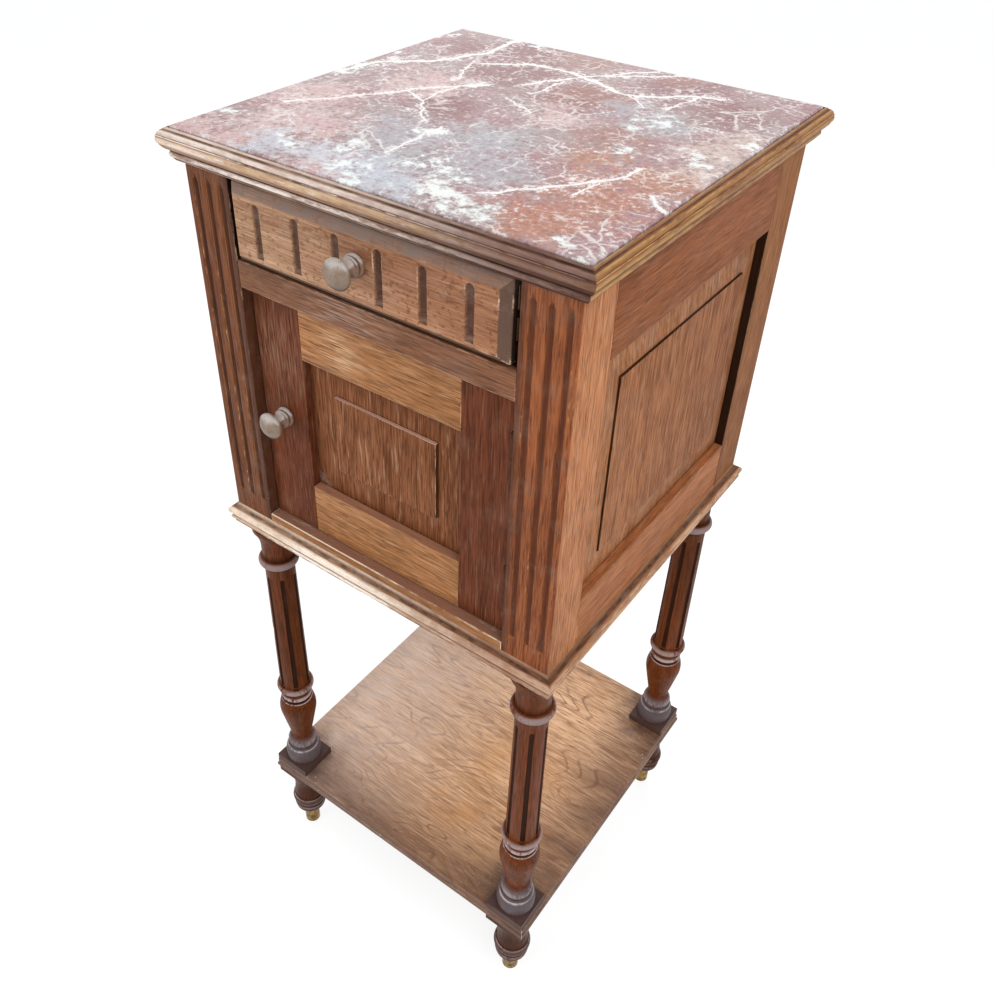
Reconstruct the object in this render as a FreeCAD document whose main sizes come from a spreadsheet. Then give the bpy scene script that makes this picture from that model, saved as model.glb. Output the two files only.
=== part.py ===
import FreeCAD, Part
import os
import re
import Sketcher

# An oak nightstand with an inset marble top, one drawer and one hinged door.
# It stands on four turned legs that carry a lower shelf, over four turned feet.
# Millimetres, +Z up. The origin is on the floor under the middle of the case, and the front faces -Y.

SIZES = {
    # case
    "case_width": 340,
    "case_depth": 338,
    "case_height": 349,
    "post_width": 43.5,
    "front_post_depth": 41,
    "back_post_depth": 46,
    "rail_thickness": 22,
    "top_rail_height": 60,
    "bottom_rail_height": 71,
    "threshold_height": 30,
    "threshold_depth": 30,
    "drawer_opening_height": 64.7,
    "drawer_rail_height": 23,
    "case_floor_thickness": 12,
    "case_floor_housing": 6,
    "case_floor_clearance": 0.5,
    # joinery
    "tenon_length": 12,
    "mortise_gap": 1,
    "front_tenon_thickness": 8,
    "front_tenon_setback": 12,
    "front_tenon_shoulder": 4,
    "groove_depth": 8,
    "panel_float": 1,
    "glue_gap": 0.1,
    "dowel_radius": 6,
    "dowel_length": 30,
    "cut_overrun": 5,
    # panels
    "panel_recess": 8,
    "panel_thickness": 8,
    "panel_field_margin": 27.5,
    "panel_field_rise": 4,
    "panel_field_step": 1.5,
    "dust_panel_thickness": 6,
    # flutes
    "drawer_flute_radius": 3.6,
    "post_flute_radius": 2.8,
    "flute_rise": 0.6,
    "post_flute_point": 9,
    "post_flute_spacing": 13.3,
    "post_flute_foot_margin": 11,
    "post_flute_head_margin": 3.5,
    "drawer_flute_spacing": 37.3,
    "drawer_flute_margin": 3,
    # marble and cornice
    "marble_overhang": 5,
    "marble_thickness": 18,
    "marble_arris": 1.6,
    "marble_gap": 1.3,
    "cornice_overhang": 13,
    "cornice_height": 25.5,
    "cornice_ledge": 9,
    "cornice_frame_width": 75,
    # base moulding
    "base_block_height": 5,
    "base_moulding_height": 22,
    "base_moulding_projection": 7.3,
    # legs, shelf and feet
    "leg_length": 359.6,
    "leg_turned_radius": 19.8,
    "leg_block_width": 42.5,
    "leg_block_height": 8.6,
    "leg_flute_radius": 2.4,
    "leg_flute_circle": 15.6,
    "shelf_overhang": 2,
    "shelf_thickness": 12.4,
    "shelf_edge_height": 5.6,
    "shelf_quirk_height": 1.1,
    "shelf_quirk_depth": 1.8,
    "shelf_edge_setback": 1.2,
    "shelf_edge_round": 2.4,
    "foot_height": 109,
    "foot_turned_radius": 19.6,
    "foot_tip_height": 30,
    "foot_tip_radius": 8.5,
    "foot_spigot_radius": 4,
    "foot_spigot_length": 12,
    "foot_socket_depth": 20,
    # drawer
    "drawer_side_gap": 5,
    "drawer_foot_gap": 2.7,
    "drawer_head_gap": 1.5,
    "drawer_bevel": 6.5,
    "drawer_front_thickness": 20,
    "drawer_rear_gap": 8,
    "drawer_side_thickness": 10.5,
    "drawer_side_drop": 3,
    "drawer_bottom_thickness": 6,
    "drawer_bottom_lift": 6.4,
    "drawer_bottom_housing": 5,
    "tail_length": 14,
    "tail_root_width": 12,
    "tail_tip_width": 16,
    "slide_clearance": 0.3,
    "runner_width": 26,
    "guide_height": 20,
    # door
    "door_recess": 9,
    "door_gap": 1.5,
    "door_thickness": 20,
    "door_stile_width": 48,
    "door_rail_height": 49,
    "door_tenon_length": 25,
    "door_panel_recess": 8,
    "door_panel_thickness": 6,
    "door_field_margin": 26.5,
    "door_field_rise": 3,
    "door_stop_height": 8,
    "door_stop_length": 120,
    "door_stop_clearance": 0.3,
    # knobs
    "knob_radius": 11.6,
    "knob_length": 25,
    "drawer_knob_lift": 4.5,
    "knob_spigot_radius": 4.5,
    "knob_spigot_length": 16,
    # hinges
    "hinge_height": 45,
    "hinge_inset": 28,
    "hinge_radius": 2.5,
    "hinge_clearance": 0.3,
    "hinge_pin_radius": 1.2,
    "hinge_pin_fit": 0.05,
    "hinge_pin_head_radius": 2,
    "hinge_pin_head_height": 1.2,
    "hinge_knuckle_play": 0.2,
    "leaf_thickness": 1.2,
    "leaf_width": 17,
    "leaf_stand": 0.6,
    "leaf_root_thickness": 2,
    "screw_head_radius": 2.4,
    "screw_shank_radius": 1.2,
    "screw_length": 14,
    "screw_margin": 8,
}

# Turned and moulded outlines as shares of the sizes that they follow.
# A pair is the end of a straight run. Four values are a point on an arc, then the arc's end.

# out from the case face by the cornice overhang, up by the cornice height
CORNICE_SHARES = [
    (0.08, 0.0),
    (0.30, 0.04, 0.42, 0.13),
    (0.55, 0.21, 0.50, 0.31),
    (0.50, 0.345),
    (0.76, 0.43, 0.90, 0.545),
    (1.0, 0.66, 0.965, 0.745),
    (0.985, 0.77),
    (0.985, 0.79),
    (0.93, 0.80),
    (0.86, 0.89, 0.71, 0.945),
    (0.665, 0.945),
]
CORNICE_BEAD_SHARES = (0.61, 0.983)

# out from the case face by the moulding's projection, up by its height
BASE_SHARES = [
    (0.0, 0.0),
    (0.48, 0.0),
    (0.48, 0.13),
    (0.56, 0.14),
    (0.82, 0.25, 0.56, 0.36),
    (0.62, 0.385),
    (1.0, 0.60, 0.46, 0.80),
    (0.40, 0.83),
    (0.18, 0.87, 0.0, 1.0),
]

# radius by the turned radius, height by the turned height, from the plinth up
LEG_SHARES = [
    (0.0, 0.0),
    (0.96, 0.0),
    (0.96, 0.006),
    (1.0, 0.026, 0.86, 0.057),
    (0.73, 0.061),
    (0.73, 0.068),
    (0.79, 0.083, 0.68, 0.095),
    (0.565, 0.10),
    (0.535, 0.106),
    (0.753, 0.165, 0.95, 0.222),
    (1.0, 0.246, 0.828, 0.288),
    (0.737, 0.29),
    (0.737, 0.296),
    (0.838, 0.306, 0.737, 0.316),
    (0.727, 0.326),
    (0.778, 0.332),
    (0.99, 0.346, 0.798, 0.36),
    (0.737, 0.855),
    (0.758, 0.858),
    (0.99, 0.872, 0.758, 0.886),
    (0.778, 0.888),
    (0.778, 0.929),
    (0.88, 0.961, 1.09, 0.986),
    (1.09, 1.0),
    (0.0, 1.0),
]
LEG_FLUTE_FOOT_SHARE = 0.372
LEG_FLUTE_HEAD_SHARE = 0.812

# radius by the turned radius, height by the turned height, from the tip up
FOOT_SHARES = [
    (0.0, 0.0),
    (0.56, 0.0),
    (0.82, 0.03, 0.90, 0.10),
    (0.93, 0.145, 0.88, 0.19),
    (0.85, 0.20),
    (0.85, 0.215),
    (0.93, 0.225),
    (1.0, 0.29, 0.92, 0.355),
    (0.85, 0.37),
    (0.82, 0.52),
    (0.86, 0.82, 1.06, 0.985),
    (1.06, 1.0),
    (0.0, 1.0),
]

# outward by the knob's length, radius by the knob's radius, as far as the rim of its domed face
KNOB_SHARES = [
    (0.0, 0.68),
    (0.07, 0.76, 0.14, 0.68),
    (0.16, 0.60),
    (0.18, 0.60),
    (0.23, 0.69, 0.28, 0.60),
    (0.44, 0.44, 0.60, 0.60),
    (0.66, 0.92),
    (0.74, 1.0, 0.82, 0.93),
]

# heights of the two dovetails on each drawer corner, by the height of the drawer side
TAIL_SHARES = (0.42, 0.80)

# where the turner started the six flutes on each leg, in degrees
LEG_FLUTES = 6
LEG_FLUTE_STARTS = {"front_left": 20, "front_right": 5, "back_left": 50, "back_right": 35}

LEFT_RIGHT = {"left": -1, "right": 1}
FRONT_BACK = {"front": -1, "back": 1}
# degrees
QUARTER_TURN = 90
FULL_TURN = 360

doc = FreeCAD.newDocument("nightstand")
sheet = doc.addObject("Spreadsheet::Sheet", "Sizes")
for row, (alias, length) in enumerate(SIZES.items(), start=1):
    sheet.set(f"A{row}", alias)
    sheet.set(f"B{row}", str(length))
    sheet.setAlias(f"B{row}", alias)
doc.recompute()
nodes = []


# Expressions over the sheet

def formula(text):
    return re.sub(r"[a-z_]+", lambda word: f"Sizes.{word[0]}" if word[0] in SIZES else word[0], text)


def value(text):
    return float(sheet.evalExpression(formula(text)))


def bind(thing, **expressions):
    for name, text in expressions.items():
        thing.setExpression(name, formula(text))


def place(thing, x, y, z):
    for axis, text in zip("xyz", (x, y, z)):
        thing.setExpression(f"Placement.Base.{axis}", formula(text))


def span(low, high, side):
    if side > 0:
        return low, high
    return f"-({high})", f"-({low})"


# Solids

def block(x, y, z):
    box = doc.addObject("Part::Box", "block")
    bind(
        box,
        Length=f"({x[1]}) - ({x[0]})",
        Width=f"({y[1]}) - ({y[0]})",
        Height=f"({z[1]}) - ({z[0]})",
    )
    place(box, x[0], y[0], z[0])
    return box


def rod(x, y, z, radius):
    cylinder = doc.addObject("Part::Cylinder", "rod")
    bind(cylinder, Radius=radius, Height=f"({z[1]}) - ({z[0]})")
    place(cylinder, x, y, z[0])
    return cylinder


def ball(x, y, z, radius):
    sphere = doc.addObject("Part::Sphere", "ball")
    bind(sphere, Radius=radius)
    place(sphere, x, y, z)
    return sphere


def spike(x, y, z, radius, height):
    """A round point that tapers upwards."""
    cone = doc.addObject("Part::Cone", "spike")
    bind(cone, Radius1=radius, Height=height)
    cone.Radius2 = 0
    place(cone, x, y, z)
    return cone


def united(pieces):
    if len(pieces) == 1:
        return pieces[0]
    fusion = doc.addObject("Part::MultiFuse", "united")
    fusion.Shapes = pieces
    fusion.Refine = True
    return fusion


def shaped(stock, removals):
    if not removals:
        return stock
    result = doc.addObject("Part::Cut", "shaped")
    result.Base = stock
    result.Tool = united(removals)
    result.Refine = True
    return result


def group(pieces):
    compound = doc.addObject("Part::Compound", "group")
    compound.Links = pieces
    return compound


def finish(label, piece):
    piece.Label = label
    nodes.append(piece)
    return piece


# Sketched outlines

def origin_plane(body, role):
    return next(plane for plane in body.Origin.OriginFeatures if plane.Role == role)


def new_body(name):
    return doc.addObject("PartDesign::Body", name)


def outline(body, role, steps):
    """A closed outline on one of the body's planes, every corner bound to its two expressions."""
    sketch = body.newObject("Sketcher::SketchObject", "outline")
    sketch.AttachmentSupport = (origin_plane(body, role), "")
    sketch.MapMode = "FlatFace"
    ends = [step[-2:] for step in steps]
    spots = [FreeCAD.Vector(value(x), value(y), 0) for x, y in ends]
    count = len(steps)
    arcs = []
    for index in range(count):
        start = spots[index]
        stop = spots[(index + 1) % count]
        step = steps[(index + 1) % count]
        if len(step) == 4:
            middle = FreeCAD.Vector(value(step[0]), value(step[1]), 0)
            sketch.addGeometry(Part.Arc(start, middle, stop), False)
            arcs.append((index, step[:2], middle))
        else:
            sketch.addGeometry(Part.LineSegment(start, stop), False)

    def end_of(index, spot):
        first = sketch.getPoint(index, 1)
        second = sketch.getPoint(index, 2)
        return 1 if first.distanceToPoint(spot) < second.distanceToPoint(spot) else 2

    bound = []
    for index in range(count):
        following = (index + 1) % count
        spot = spots[following]
        here = end_of(index, spot)
        there = end_of(following, spot)
        sketch.addConstraint(Sketcher.Constraint("Coincident", index, here, following, there))
        bound.append((following, there, ends[following]))
    for index, expressions, middle in arcs:
        mark = sketch.addGeometry(Part.Point(middle), True)
        sketch.addConstraint(Sketcher.Constraint("PointOnObject", mark, 1, index))
        bound.append((mark, 1, expressions))
    for geometry, point, (x, y) in bound:
        for kind, text in (("DistanceX", x), ("DistanceY", y)):
            constraint = Sketcher.Constraint(kind, -1, 1, geometry, point, value(text))
            number = sketch.addConstraint(constraint)
            sketch.setExpression(f"Constraints[{number}]", formula(text))
    return sketch


def rectangle(x, y):
    return [(x[0], y[0]), (x[1], y[0]), (x[1], y[1]), (x[0], y[1])]


def scaled(shares, across, up, base=("0", "0")):
    """Turns a table of shares into expressions."""
    steps = []
    for step in shares:
        texts = []
        for index, share in enumerate(step):
            length = (across, up)[index % 2]
            texts.append(f"{base[index % 2]} + {share} * {length}")
        steps.append(tuple(texts))
    return steps


def extrude(body, sketch, length, symmetric=False):
    pad = body.newObject("PartDesign::Pad", "pad")
    pad.Profile = sketch
    bind(pad, Length=length)
    if symmetric:
        pad.SideType = "Symmetric"
    doc.recompute()
    return pad


def turn(body, sketch, axis):
    revolution = body.newObject("PartDesign::Revolution", "turning")
    revolution.Profile = sketch
    revolution.ReferenceAxis = (sketch, [axis])
    revolution.Angle = FULL_TURN
    doc.recompute()
    return revolution


def outer_face(feature, direction):
    """The name of the flat face that lies furthest in a direction."""
    faces = feature.Shape.Faces
    reach = [face.CenterOfMass.dot(direction) for face in faces]
    return f"Face{reach.index(max(reach)) + 1}"


# Levels above the floor

shelf_top = "(foot_height + shelf_thickness)"
leg_top = f"({shelf_top} + leg_length)"
base_low = f"({leg_top} + base_block_height)"
threshold_top = f"({base_low} + threshold_height)"
bottom_rail_top = f"({base_low} + bottom_rail_height)"
case_top = f"({leg_top} + case_height)"
top_rail_low = f"({case_top} - top_rail_height)"
drawer_floor = f"({case_top} - drawer_opening_height)"
door_head = f"({drawer_floor} - drawer_rail_height)"
ledge_top = f"({case_top} + cornice_ledge)"

# Places across the case, measured from its middle

half_width = "(case_width / 2)"
half_depth = "(case_depth / 2)"
post_inner = f"({half_width} - post_width)"
front_post_reach = f"({half_depth} - front_post_depth)"
back_post_reach = f"({half_depth} - back_post_depth)"
side_rail_inner = f"({half_width} - rail_thickness)"
back_rail_inner = f"({half_depth} - rail_thickness)"
leg_x = f"({half_width} - post_width / 2)"
leg_y = f"({half_depth} - front_post_depth / 2)"
threshold_back = f"(threshold_depth - {half_depth})"
side_ground = (f"({half_width} - panel_recess - panel_thickness)", f"({half_width} - panel_recess)")
back_ground = (f"({half_depth} - panel_recess - panel_thickness)", f"({half_depth} - panel_recess)")
panel_lip = "(groove_depth - panel_float)"

# Drawer and door places

drawer_half = f"({post_inner} - drawer_side_gap)"
drawer_inner = f"({drawer_half} - drawer_side_thickness)"
drawer_front_back = f"(drawer_front_thickness - {half_depth})"
drawer_rear = f"({back_post_reach} - drawer_rear_gap)"
drawer_back_inner = f"({drawer_rear} - drawer_side_thickness)"
drawer_low = f"({drawer_floor} + drawer_foot_gap)"
drawer_high = f"({case_top} - drawer_head_gap)"
drawer_face_low = f"({drawer_low} + drawer_bevel)"
drawer_face_high = f"({drawer_high} - drawer_bevel)"
drawer_face = f"(-{half_depth} - drawer_bevel)"
side_low = f"({drawer_floor} + slide_clearance)"
side_high = f"({drawer_high} - drawer_side_drop)"
bottom_low = f"({side_low} + drawer_bottom_lift)"
bottom_high = f"({bottom_low} + drawer_bottom_thickness)"
runner_inner = f"({drawer_half} - runner_width)"

door_face = f"(door_recess - {half_depth})"
door_back = f"({door_face} + door_thickness)"
door_half = f"({post_inner} - door_gap)"
door_low = f"({threshold_top} + door_gap)"
door_high = f"({door_head} - door_gap)"
stile_inner = f"({door_half} - door_stile_width)"
door_rail_low_top = f"({door_low} + door_rail_height)"
door_rail_high_low = f"({door_high} - door_rail_height)"
door_ground = (
    f"({door_face} + door_panel_recess)",
    f"({door_face} + door_panel_recess + door_panel_thickness)",
)

hinge_x = f"({post_inner} - hinge_radius - hinge_clearance)"
hinge_y = f"({door_face} - hinge_radius - hinge_clearance)"
hinge_feet = (f"({door_low} + hinge_inset)", f"({door_high} - hinge_inset - hinge_height)")
door_leaf_x = (f"({door_half} - leaf_thickness)", door_half)
case_leaf_x = (f"({post_inner} - leaf_stand)", f"({post_inner} - leaf_stand + leaf_thickness)")
leaf_y = (door_face, f"({door_face} + leaf_width)")


# Mortise and tenon joints: one set of spans serves the tenon and, deeper by a gap, its mortise

def side_tenon(side, end, low, high, gap="0"):
    reach = front_post_reach if end < 0 else back_post_reach
    z = (f"{low} + groove_depth", f"{high} - groove_depth")
    y = span(reach, f"{reach} + tenon_length + {gap}", end)
    return block(span(*side_ground, side), y, z)


def back_tenon(side, low, high, gap="0"):
    z = (f"{low} + groove_depth", f"{high} - groove_depth")
    x = span(post_inner, f"{post_inner} + tenon_length + {gap}", side)
    return block(x, back_ground, z)


def front_tenon(side, low, high, gap="0"):
    z = (f"{low} + front_tenon_shoulder", f"{high} - front_tenon_shoulder")
    x = span(post_inner, f"{post_inner} + tenon_length + {gap}", side)
    y = (f"front_tenon_setback - {half_depth}", f"front_tenon_setback + front_tenon_thickness - {half_depth}")
    return block(x, y, z)


side_rails = {"top": (top_rail_low, case_top), "bottom": (base_low, bottom_rail_top)}
front_rails = {"threshold": (base_low, threshold_top), "drawer": (door_head, drawer_floor)}
panel_z = (f"{bottom_rail_top} - {panel_lip}", f"{top_rail_low} + {panel_lip}")
groove_z = (f"{bottom_rail_top} - groove_depth", f"{top_rail_low} + groove_depth")


# Flutes

def flute(x, y, z, radius, round_foot=True):
    tools = [rod(x, y, z, radius), ball(x, y, z[1], radius)]
    if round_foot:
        tools.append(ball(x, y, z[0], radius))
    return tools


def post_flutes(side):
    y = f"-{half_depth} - flute_rise"
    foot = f"{threshold_top} + post_flute_foot_margin + post_flute_radius"
    head = f"{case_top} - post_flute_head_margin - post_flute_point"
    tools = []
    for step in (-1, 0, 1):
        x = f"{side} * {leg_x} + {step} * post_flute_spacing"
        tools.append(ball(x, y, foot, "post_flute_radius"))
        tools.append(rod(x, y, (foot, head), "post_flute_radius"))
        tools.append(spike(x, y, head, "post_flute_radius", "post_flute_point"))
    return tools


# Hinges

def hinge_levels(foot):
    third = "hinge_height / 3"
    return foot, f"({foot} + {third})", f"({foot} + 2 * {third})", f"({foot} + hinge_height)"


def screw_places(foot):
    middle = f"({leaf_y[0]} + {leaf_y[1]}) / 2"
    return [(middle, f"{foot} + screw_margin"), (middle, f"{foot} + hinge_height - screw_margin")]


def screw(x_face, into, y, z, gap="0"):
    """A countersunk screw along X, its head flush with the leaf's face, driven towards +X or -X."""
    cone = doc.addObject("Part::Cone", "screw_head")
    bind(
        cone,
        Radius1=f"screw_head_radius + {gap}",
        Radius2=f"screw_shank_radius + {gap}",
        Height="leaf_thickness",
    )
    shank = doc.addObject("Part::Cylinder", "screw_shank")
    bind(shank, Radius=f"screw_shank_radius + {gap}", Height=f"screw_length + {gap}")
    for piece in (cone, shank):
        piece.Placement.Rotation = FreeCAD.Rotation(FreeCAD.Vector(0, 1, 0), QUARTER_TURN * into)
        place(piece, x_face, y, z)
    return united([cone, shank])


def leaf_screws(x_face, into, gap="0"):
    pieces = []
    for foot in hinge_feet:
        pieces += [screw(x_face, into, y, z, gap) for y, z in screw_places(foot)]
    return pieces


def case_leaf_recesses():
    y = (f"{hinge_y} - leaf_root_thickness / 2", leaf_y[1])
    x = (post_inner, case_leaf_x[1])
    return [block(x, y, (foot, f"{foot} + hinge_height")) for foot in hinge_feet]


def pin_bore(foot):
    z = (f"{foot} - cut_overrun", f"{foot} + hinge_height + cut_overrun")
    return rod(hinge_x, hinge_y, z, "hinge_pin_radius + hinge_pin_fit")


def case_leaf(foot):
    low, third, two_thirds, high = hinge_levels(foot)
    pieces = [block(case_leaf_x, leaf_y, (low, high))]
    root_y = (f"{hinge_y} - leaf_root_thickness / 2", f"{hinge_y} + leaf_root_thickness / 2")
    for z in ((low, third), (two_thirds, high)):
        pieces.append(rod(hinge_x, hinge_y, z, "hinge_radius"))
        pieces.append(block((hinge_x, case_leaf_x[1]), root_y, z))
        pieces.append(block(case_leaf_x, (root_y[0], leaf_y[1]), z))
    holes = [screw(case_leaf_x[0], 1, y, z, "glue_gap") for y, z in screw_places(foot)]
    return shaped(united(pieces), [pin_bore(foot)] + holes)


def door_leaf(foot):
    low, third, two_thirds, high = hinge_levels(foot)
    middle = (f"{third} + hinge_knuckle_play", f"{two_thirds} - hinge_knuckle_play")
    pieces = [
        block(door_leaf_x, leaf_y, (low, high)),
        block(door_leaf_x, (hinge_y, leaf_y[1]), middle),
        rod(hinge_x, hinge_y, middle, "hinge_radius"),
    ]
    holes = [screw(door_leaf_x[1], -1, y, z, "glue_gap") for y, z in screw_places(foot)]
    return shaped(united(pieces), [pin_bore(foot)] + holes)


def hinge_pin(foot):
    top = f"{foot} + hinge_height"
    shaft = rod(hinge_x, hinge_y, (foot, top), "hinge_pin_radius")
    head = rod(hinge_x, hinge_y, (top, f"{top} + hinge_pin_head_height"), "hinge_pin_head_radius")
    return united([shaft, head])


# The case

def make_post(end_name, side_name):
    end = FRONT_BACK[end_name]
    side = LEFT_RIGHT[side_name]
    reach = front_post_reach if end < 0 else back_post_reach
    stock = block(span(post_inner, half_width, side), span(reach, half_depth, end), (leg_top, case_top))
    dowel_z = (f"{leg_top} - cut_overrun", f"{leg_top} + dowel_length + mortise_gap")
    removals = [rod(f"{side} * {leg_x}", f"{end} * {leg_y}", dowel_z, "dowel_radius + glue_gap")]
    removals.append(block(span(*side_ground, side), span(reach, f"{reach} + groove_depth", end), groove_z))
    for low, high in side_rails.values():
        removals.append(side_tenon(side, end, low, high, "mortise_gap"))
    if end > 0:
        removals.append(block(span(post_inner, f"{post_inner} + groove_depth", side), back_ground, groove_z))
        for low, high in side_rails.values():
            removals.append(back_tenon(side, low, high, "mortise_gap"))
    else:
        removals += post_flutes(side)
        for low, high in front_rails.values():
            removals.append(front_tenon(side, low, high, "mortise_gap"))
        if side > 0:
            removals += case_leaf_recesses()
            removals += leaf_screws(case_leaf_x[0], 1, "glue_gap")
    finish(f"post_{end_name}_{side_name}", shaped(stock, removals))


def floor_housing():
    """The case floor's full outline, let into the rails round it."""
    x = (f"-{side_rail_inner} - case_floor_housing", f"{side_rail_inner} + case_floor_housing")
    y = (f"{threshold_back} - case_floor_housing", f"{back_rail_inner} + case_floor_housing")
    return block(x, y, (f"{threshold_top} - case_floor_thickness", threshold_top))


def make_side_rails(side_name):
    side = LEFT_RIGHT[side_name]
    x = span(side_rail_inner, half_width, side)
    y = (f"-{front_post_reach}", back_post_reach)
    for rail_name, (low, high) in side_rails.items():
        pieces = [block(x, y, (low, high))]
        pieces += [side_tenon(side, end, low, high) for end in FRONT_BACK.values()]
        removals = []
        if rail_name == "top":
            groove = (low, f"{low} + groove_depth")
        else:
            groove = (f"{high} - groove_depth", high)
            removals.append(floor_housing())
        removals.append(block(span(*side_ground, side), y, groove))
        finish(f"side_rail_{rail_name}_{side_name}", shaped(united(pieces), removals))


def panel_rectangle(margin):
    """A rectangle on the side panel, in from the frame round it by a margin."""
    y = (f"-{front_post_reach} + {margin}", f"{back_post_reach} - {margin}")
    z = (f"{bottom_rail_top} + {margin}", f"{top_rail_low} - {margin}")
    return y, z


def sloped_margin(side):
    """The low slope from the side panel's edge up to the foot of the step round its field."""
    slope = doc.addObject("Part::Wedge", "sloped_margin")
    base_y, base_z = panel_rectangle("panel_float")
    top_y, top_z = panel_rectangle("panel_field_margin")
    base_x = span(*base_y, -side)
    top_x = span(*top_y, -side)
    bind(slope, Ymin=side_ground[1], Ymax=f"{side_ground[1]} + panel_field_rise - panel_field_step")
    bind(slope, Xmin=base_x[0], Xmax=base_x[1], Zmin=base_z[0], Zmax=base_z[1])
    bind(slope, X2min=top_x[0], X2max=top_x[1], Z2min=top_z[0], Z2max=top_z[1])
    slope.Placement.Rotation = FreeCAD.Rotation(FreeCAD.Vector(0, 0, -side), QUARTER_TURN)
    return slope


def make_side_panel(side_name):
    side = LEFT_RIGHT[side_name]
    y = (f"-{front_post_reach} - {panel_lip}", f"{back_post_reach} + {panel_lip}")
    ground = block(span(*side_ground, side), y, panel_z)
    field_x = span(side_ground[1], f"{side_ground[1]} + panel_field_rise", side)
    field = block(field_x, *panel_rectangle("panel_field_margin"))
    finish(f"side_panel_{side_name}", united([ground, sloped_margin(side), field]))


def make_back():
    x = (f"-{post_inner}", post_inner)
    y = (back_rail_inner, half_depth)
    for rail_name, (low, high) in side_rails.items():
        pieces = [block(x, y, (low, high))]
        pieces += [back_tenon(side, low, high) for side in LEFT_RIGHT.values()]
        removals = []
        if rail_name == "top":
            groove = (low, f"{low} + groove_depth")
        else:
            groove = (f"{high} - groove_depth", high)
            removals.append(floor_housing())
        removals.append(block(x, back_ground, groove))
        finish(f"back_rail_{rail_name}", shaped(united(pieces), removals))
    panel_x = (f"-{post_inner} - {panel_lip}", f"{post_inner} + {panel_lip}")
    finish("back_panel", block(panel_x, back_ground, panel_z))


def make_front_rails():
    x = (f"-{post_inner}", post_inner)
    low, high = front_rails["threshold"]
    pieces = [block(x, (f"-{half_depth}", threshold_back), (low, high))]
    pieces += [front_tenon(side, low, high) for side in LEFT_RIGHT.values()]
    finish("threshold_rail", shaped(united(pieces), [floor_housing()]))
    low, high = front_rails["drawer"]
    pieces = [block(x, (f"-{half_depth}", f"-{front_post_reach}"), (low, high))]
    pieces += [front_tenon(side, low, high) for side in LEFT_RIGHT.values()]
    finish("drawer_rail", shaped(united(pieces), [dust_panel_housing("groove_depth")]))


def dust_panel_housing(lip):
    x = (f"-{runner_inner} - {lip}", f"{runner_inner} + {lip}")
    y = (f"-{front_post_reach} - {lip}", back_ground[0])
    low = f"{door_head} + (drawer_rail_height - dust_panel_thickness) / 2"
    return block(x, y, (low, f"{low} + dust_panel_thickness"))


def make_case_floor():
    notches = []
    for side in LEFT_RIGHT.values():
        x = span(f"{post_inner} - case_floor_clearance", f"{half_width} + cut_overrun", side)
        z = (f"{threshold_top} - case_floor_thickness - cut_overrun", f"{threshold_top} + cut_overrun")
        for end, reach in ((-1, front_post_reach), (1, back_post_reach)):
            y = span(f"{reach} - case_floor_clearance", f"{half_depth} + cut_overrun", end)
            notches.append(block(x, y, z))
    finish("case_floor", shaped(floor_housing(), notches))


def make_drawer_runner(side_name):
    side = LEFT_RIGHT[side_name]
    y = (f"-{front_post_reach}", back_post_reach)
    runner = block(span(runner_inner, side_rail_inner, side), y, (door_head, drawer_floor))
    guide_x = span(f"{drawer_half} + slide_clearance", side_rail_inner, side)
    guide = block(guide_x, y, (drawer_floor, f"{drawer_floor} + guide_height"))
    board = shaped(united([runner, guide]), [dust_panel_housing("groove_depth")])
    finish(f"drawer_runner_{side_name}", board)


def make_door_stop():
    x = ("-door_stop_length / 2", "door_stop_length / 2")
    y = (f"{door_back} + door_stop_clearance", f"-{front_post_reach}")
    finish("door_stop", block(x, y, (f"{door_head} - door_stop_height", door_head)))


# Mouldings, mitred at the corners

def make_moulding(label, along, side, profile, outer, width, base, height):
    """A strip along X or Y. The profile is out from the case face and up from the base."""
    body = new_body(f"{label}_strip")
    case_face = half_depth if along == "x" else half_width
    role = "YZ_Plane" if along == "x" else "XZ_Plane"
    steps = []
    for step in profile:
        texts = []
        for index, text in enumerate(step):
            texts.append(f"{side} * ({case_face} + {text})" if index % 2 == 0 else text)
        steps.append(tuple(texts))
    half_length = f"({half_width} + {outer})" if along == "x" else f"({half_depth} + {outer})"
    reach = f"({case_face} + {outer})"
    extrude(body, outline(body, role, steps), f"2 * {half_length}", symmetric=True)
    place(body, "0", "0", base)
    mitres = []
    for end in (-1, 1):
        tool = new_body(f"{label}_mitre")
        corners = [
            (f"{end} * {half_length}", f"{side} * {reach}"),
            (f"{end} * {half_length}", f"{side} * ({reach} - {width})"),
            (f"{end} * ({half_length} - {width})", f"{side} * ({reach} - {width})"),
        ]
        if along == "y":
            corners = [(y, x) for x, y in corners]
        extrude(tool, outline(tool, "XY_Plane", corners), f"{height} + 2 * cut_overrun")
        place(tool, "0", "0", f"{base} - cut_overrun")
        mitres.append(tool)
    finish(label, shaped(body, mitres))


def make_cornice():
    lip = "marble_overhang + marble_gap"
    bead_out, bead_up = CORNICE_BEAD_SHARES
    profile = scaled(CORNICE_SHARES, "cornice_overhang", "cornice_height")
    profile.append((f"{bead_out} * cornice_overhang", f"{bead_up} * cornice_height", lip, "cornice_height"))
    profile.append((lip, "cornice_ledge"))
    profile.append(("cornice_overhang - cornice_frame_width", "cornice_ledge"))
    profile.append(("cornice_overhang - cornice_frame_width", "0"))
    sizes = (profile, "cornice_overhang", "cornice_frame_width", case_top, "cornice_height")
    for name, side in FRONT_BACK.items():
        make_moulding(f"cornice_{name}", "x", side, *sizes)
    for name, side in LEFT_RIGHT.items():
        make_moulding(f"cornice_{name}", "y", side, *sizes)


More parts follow.
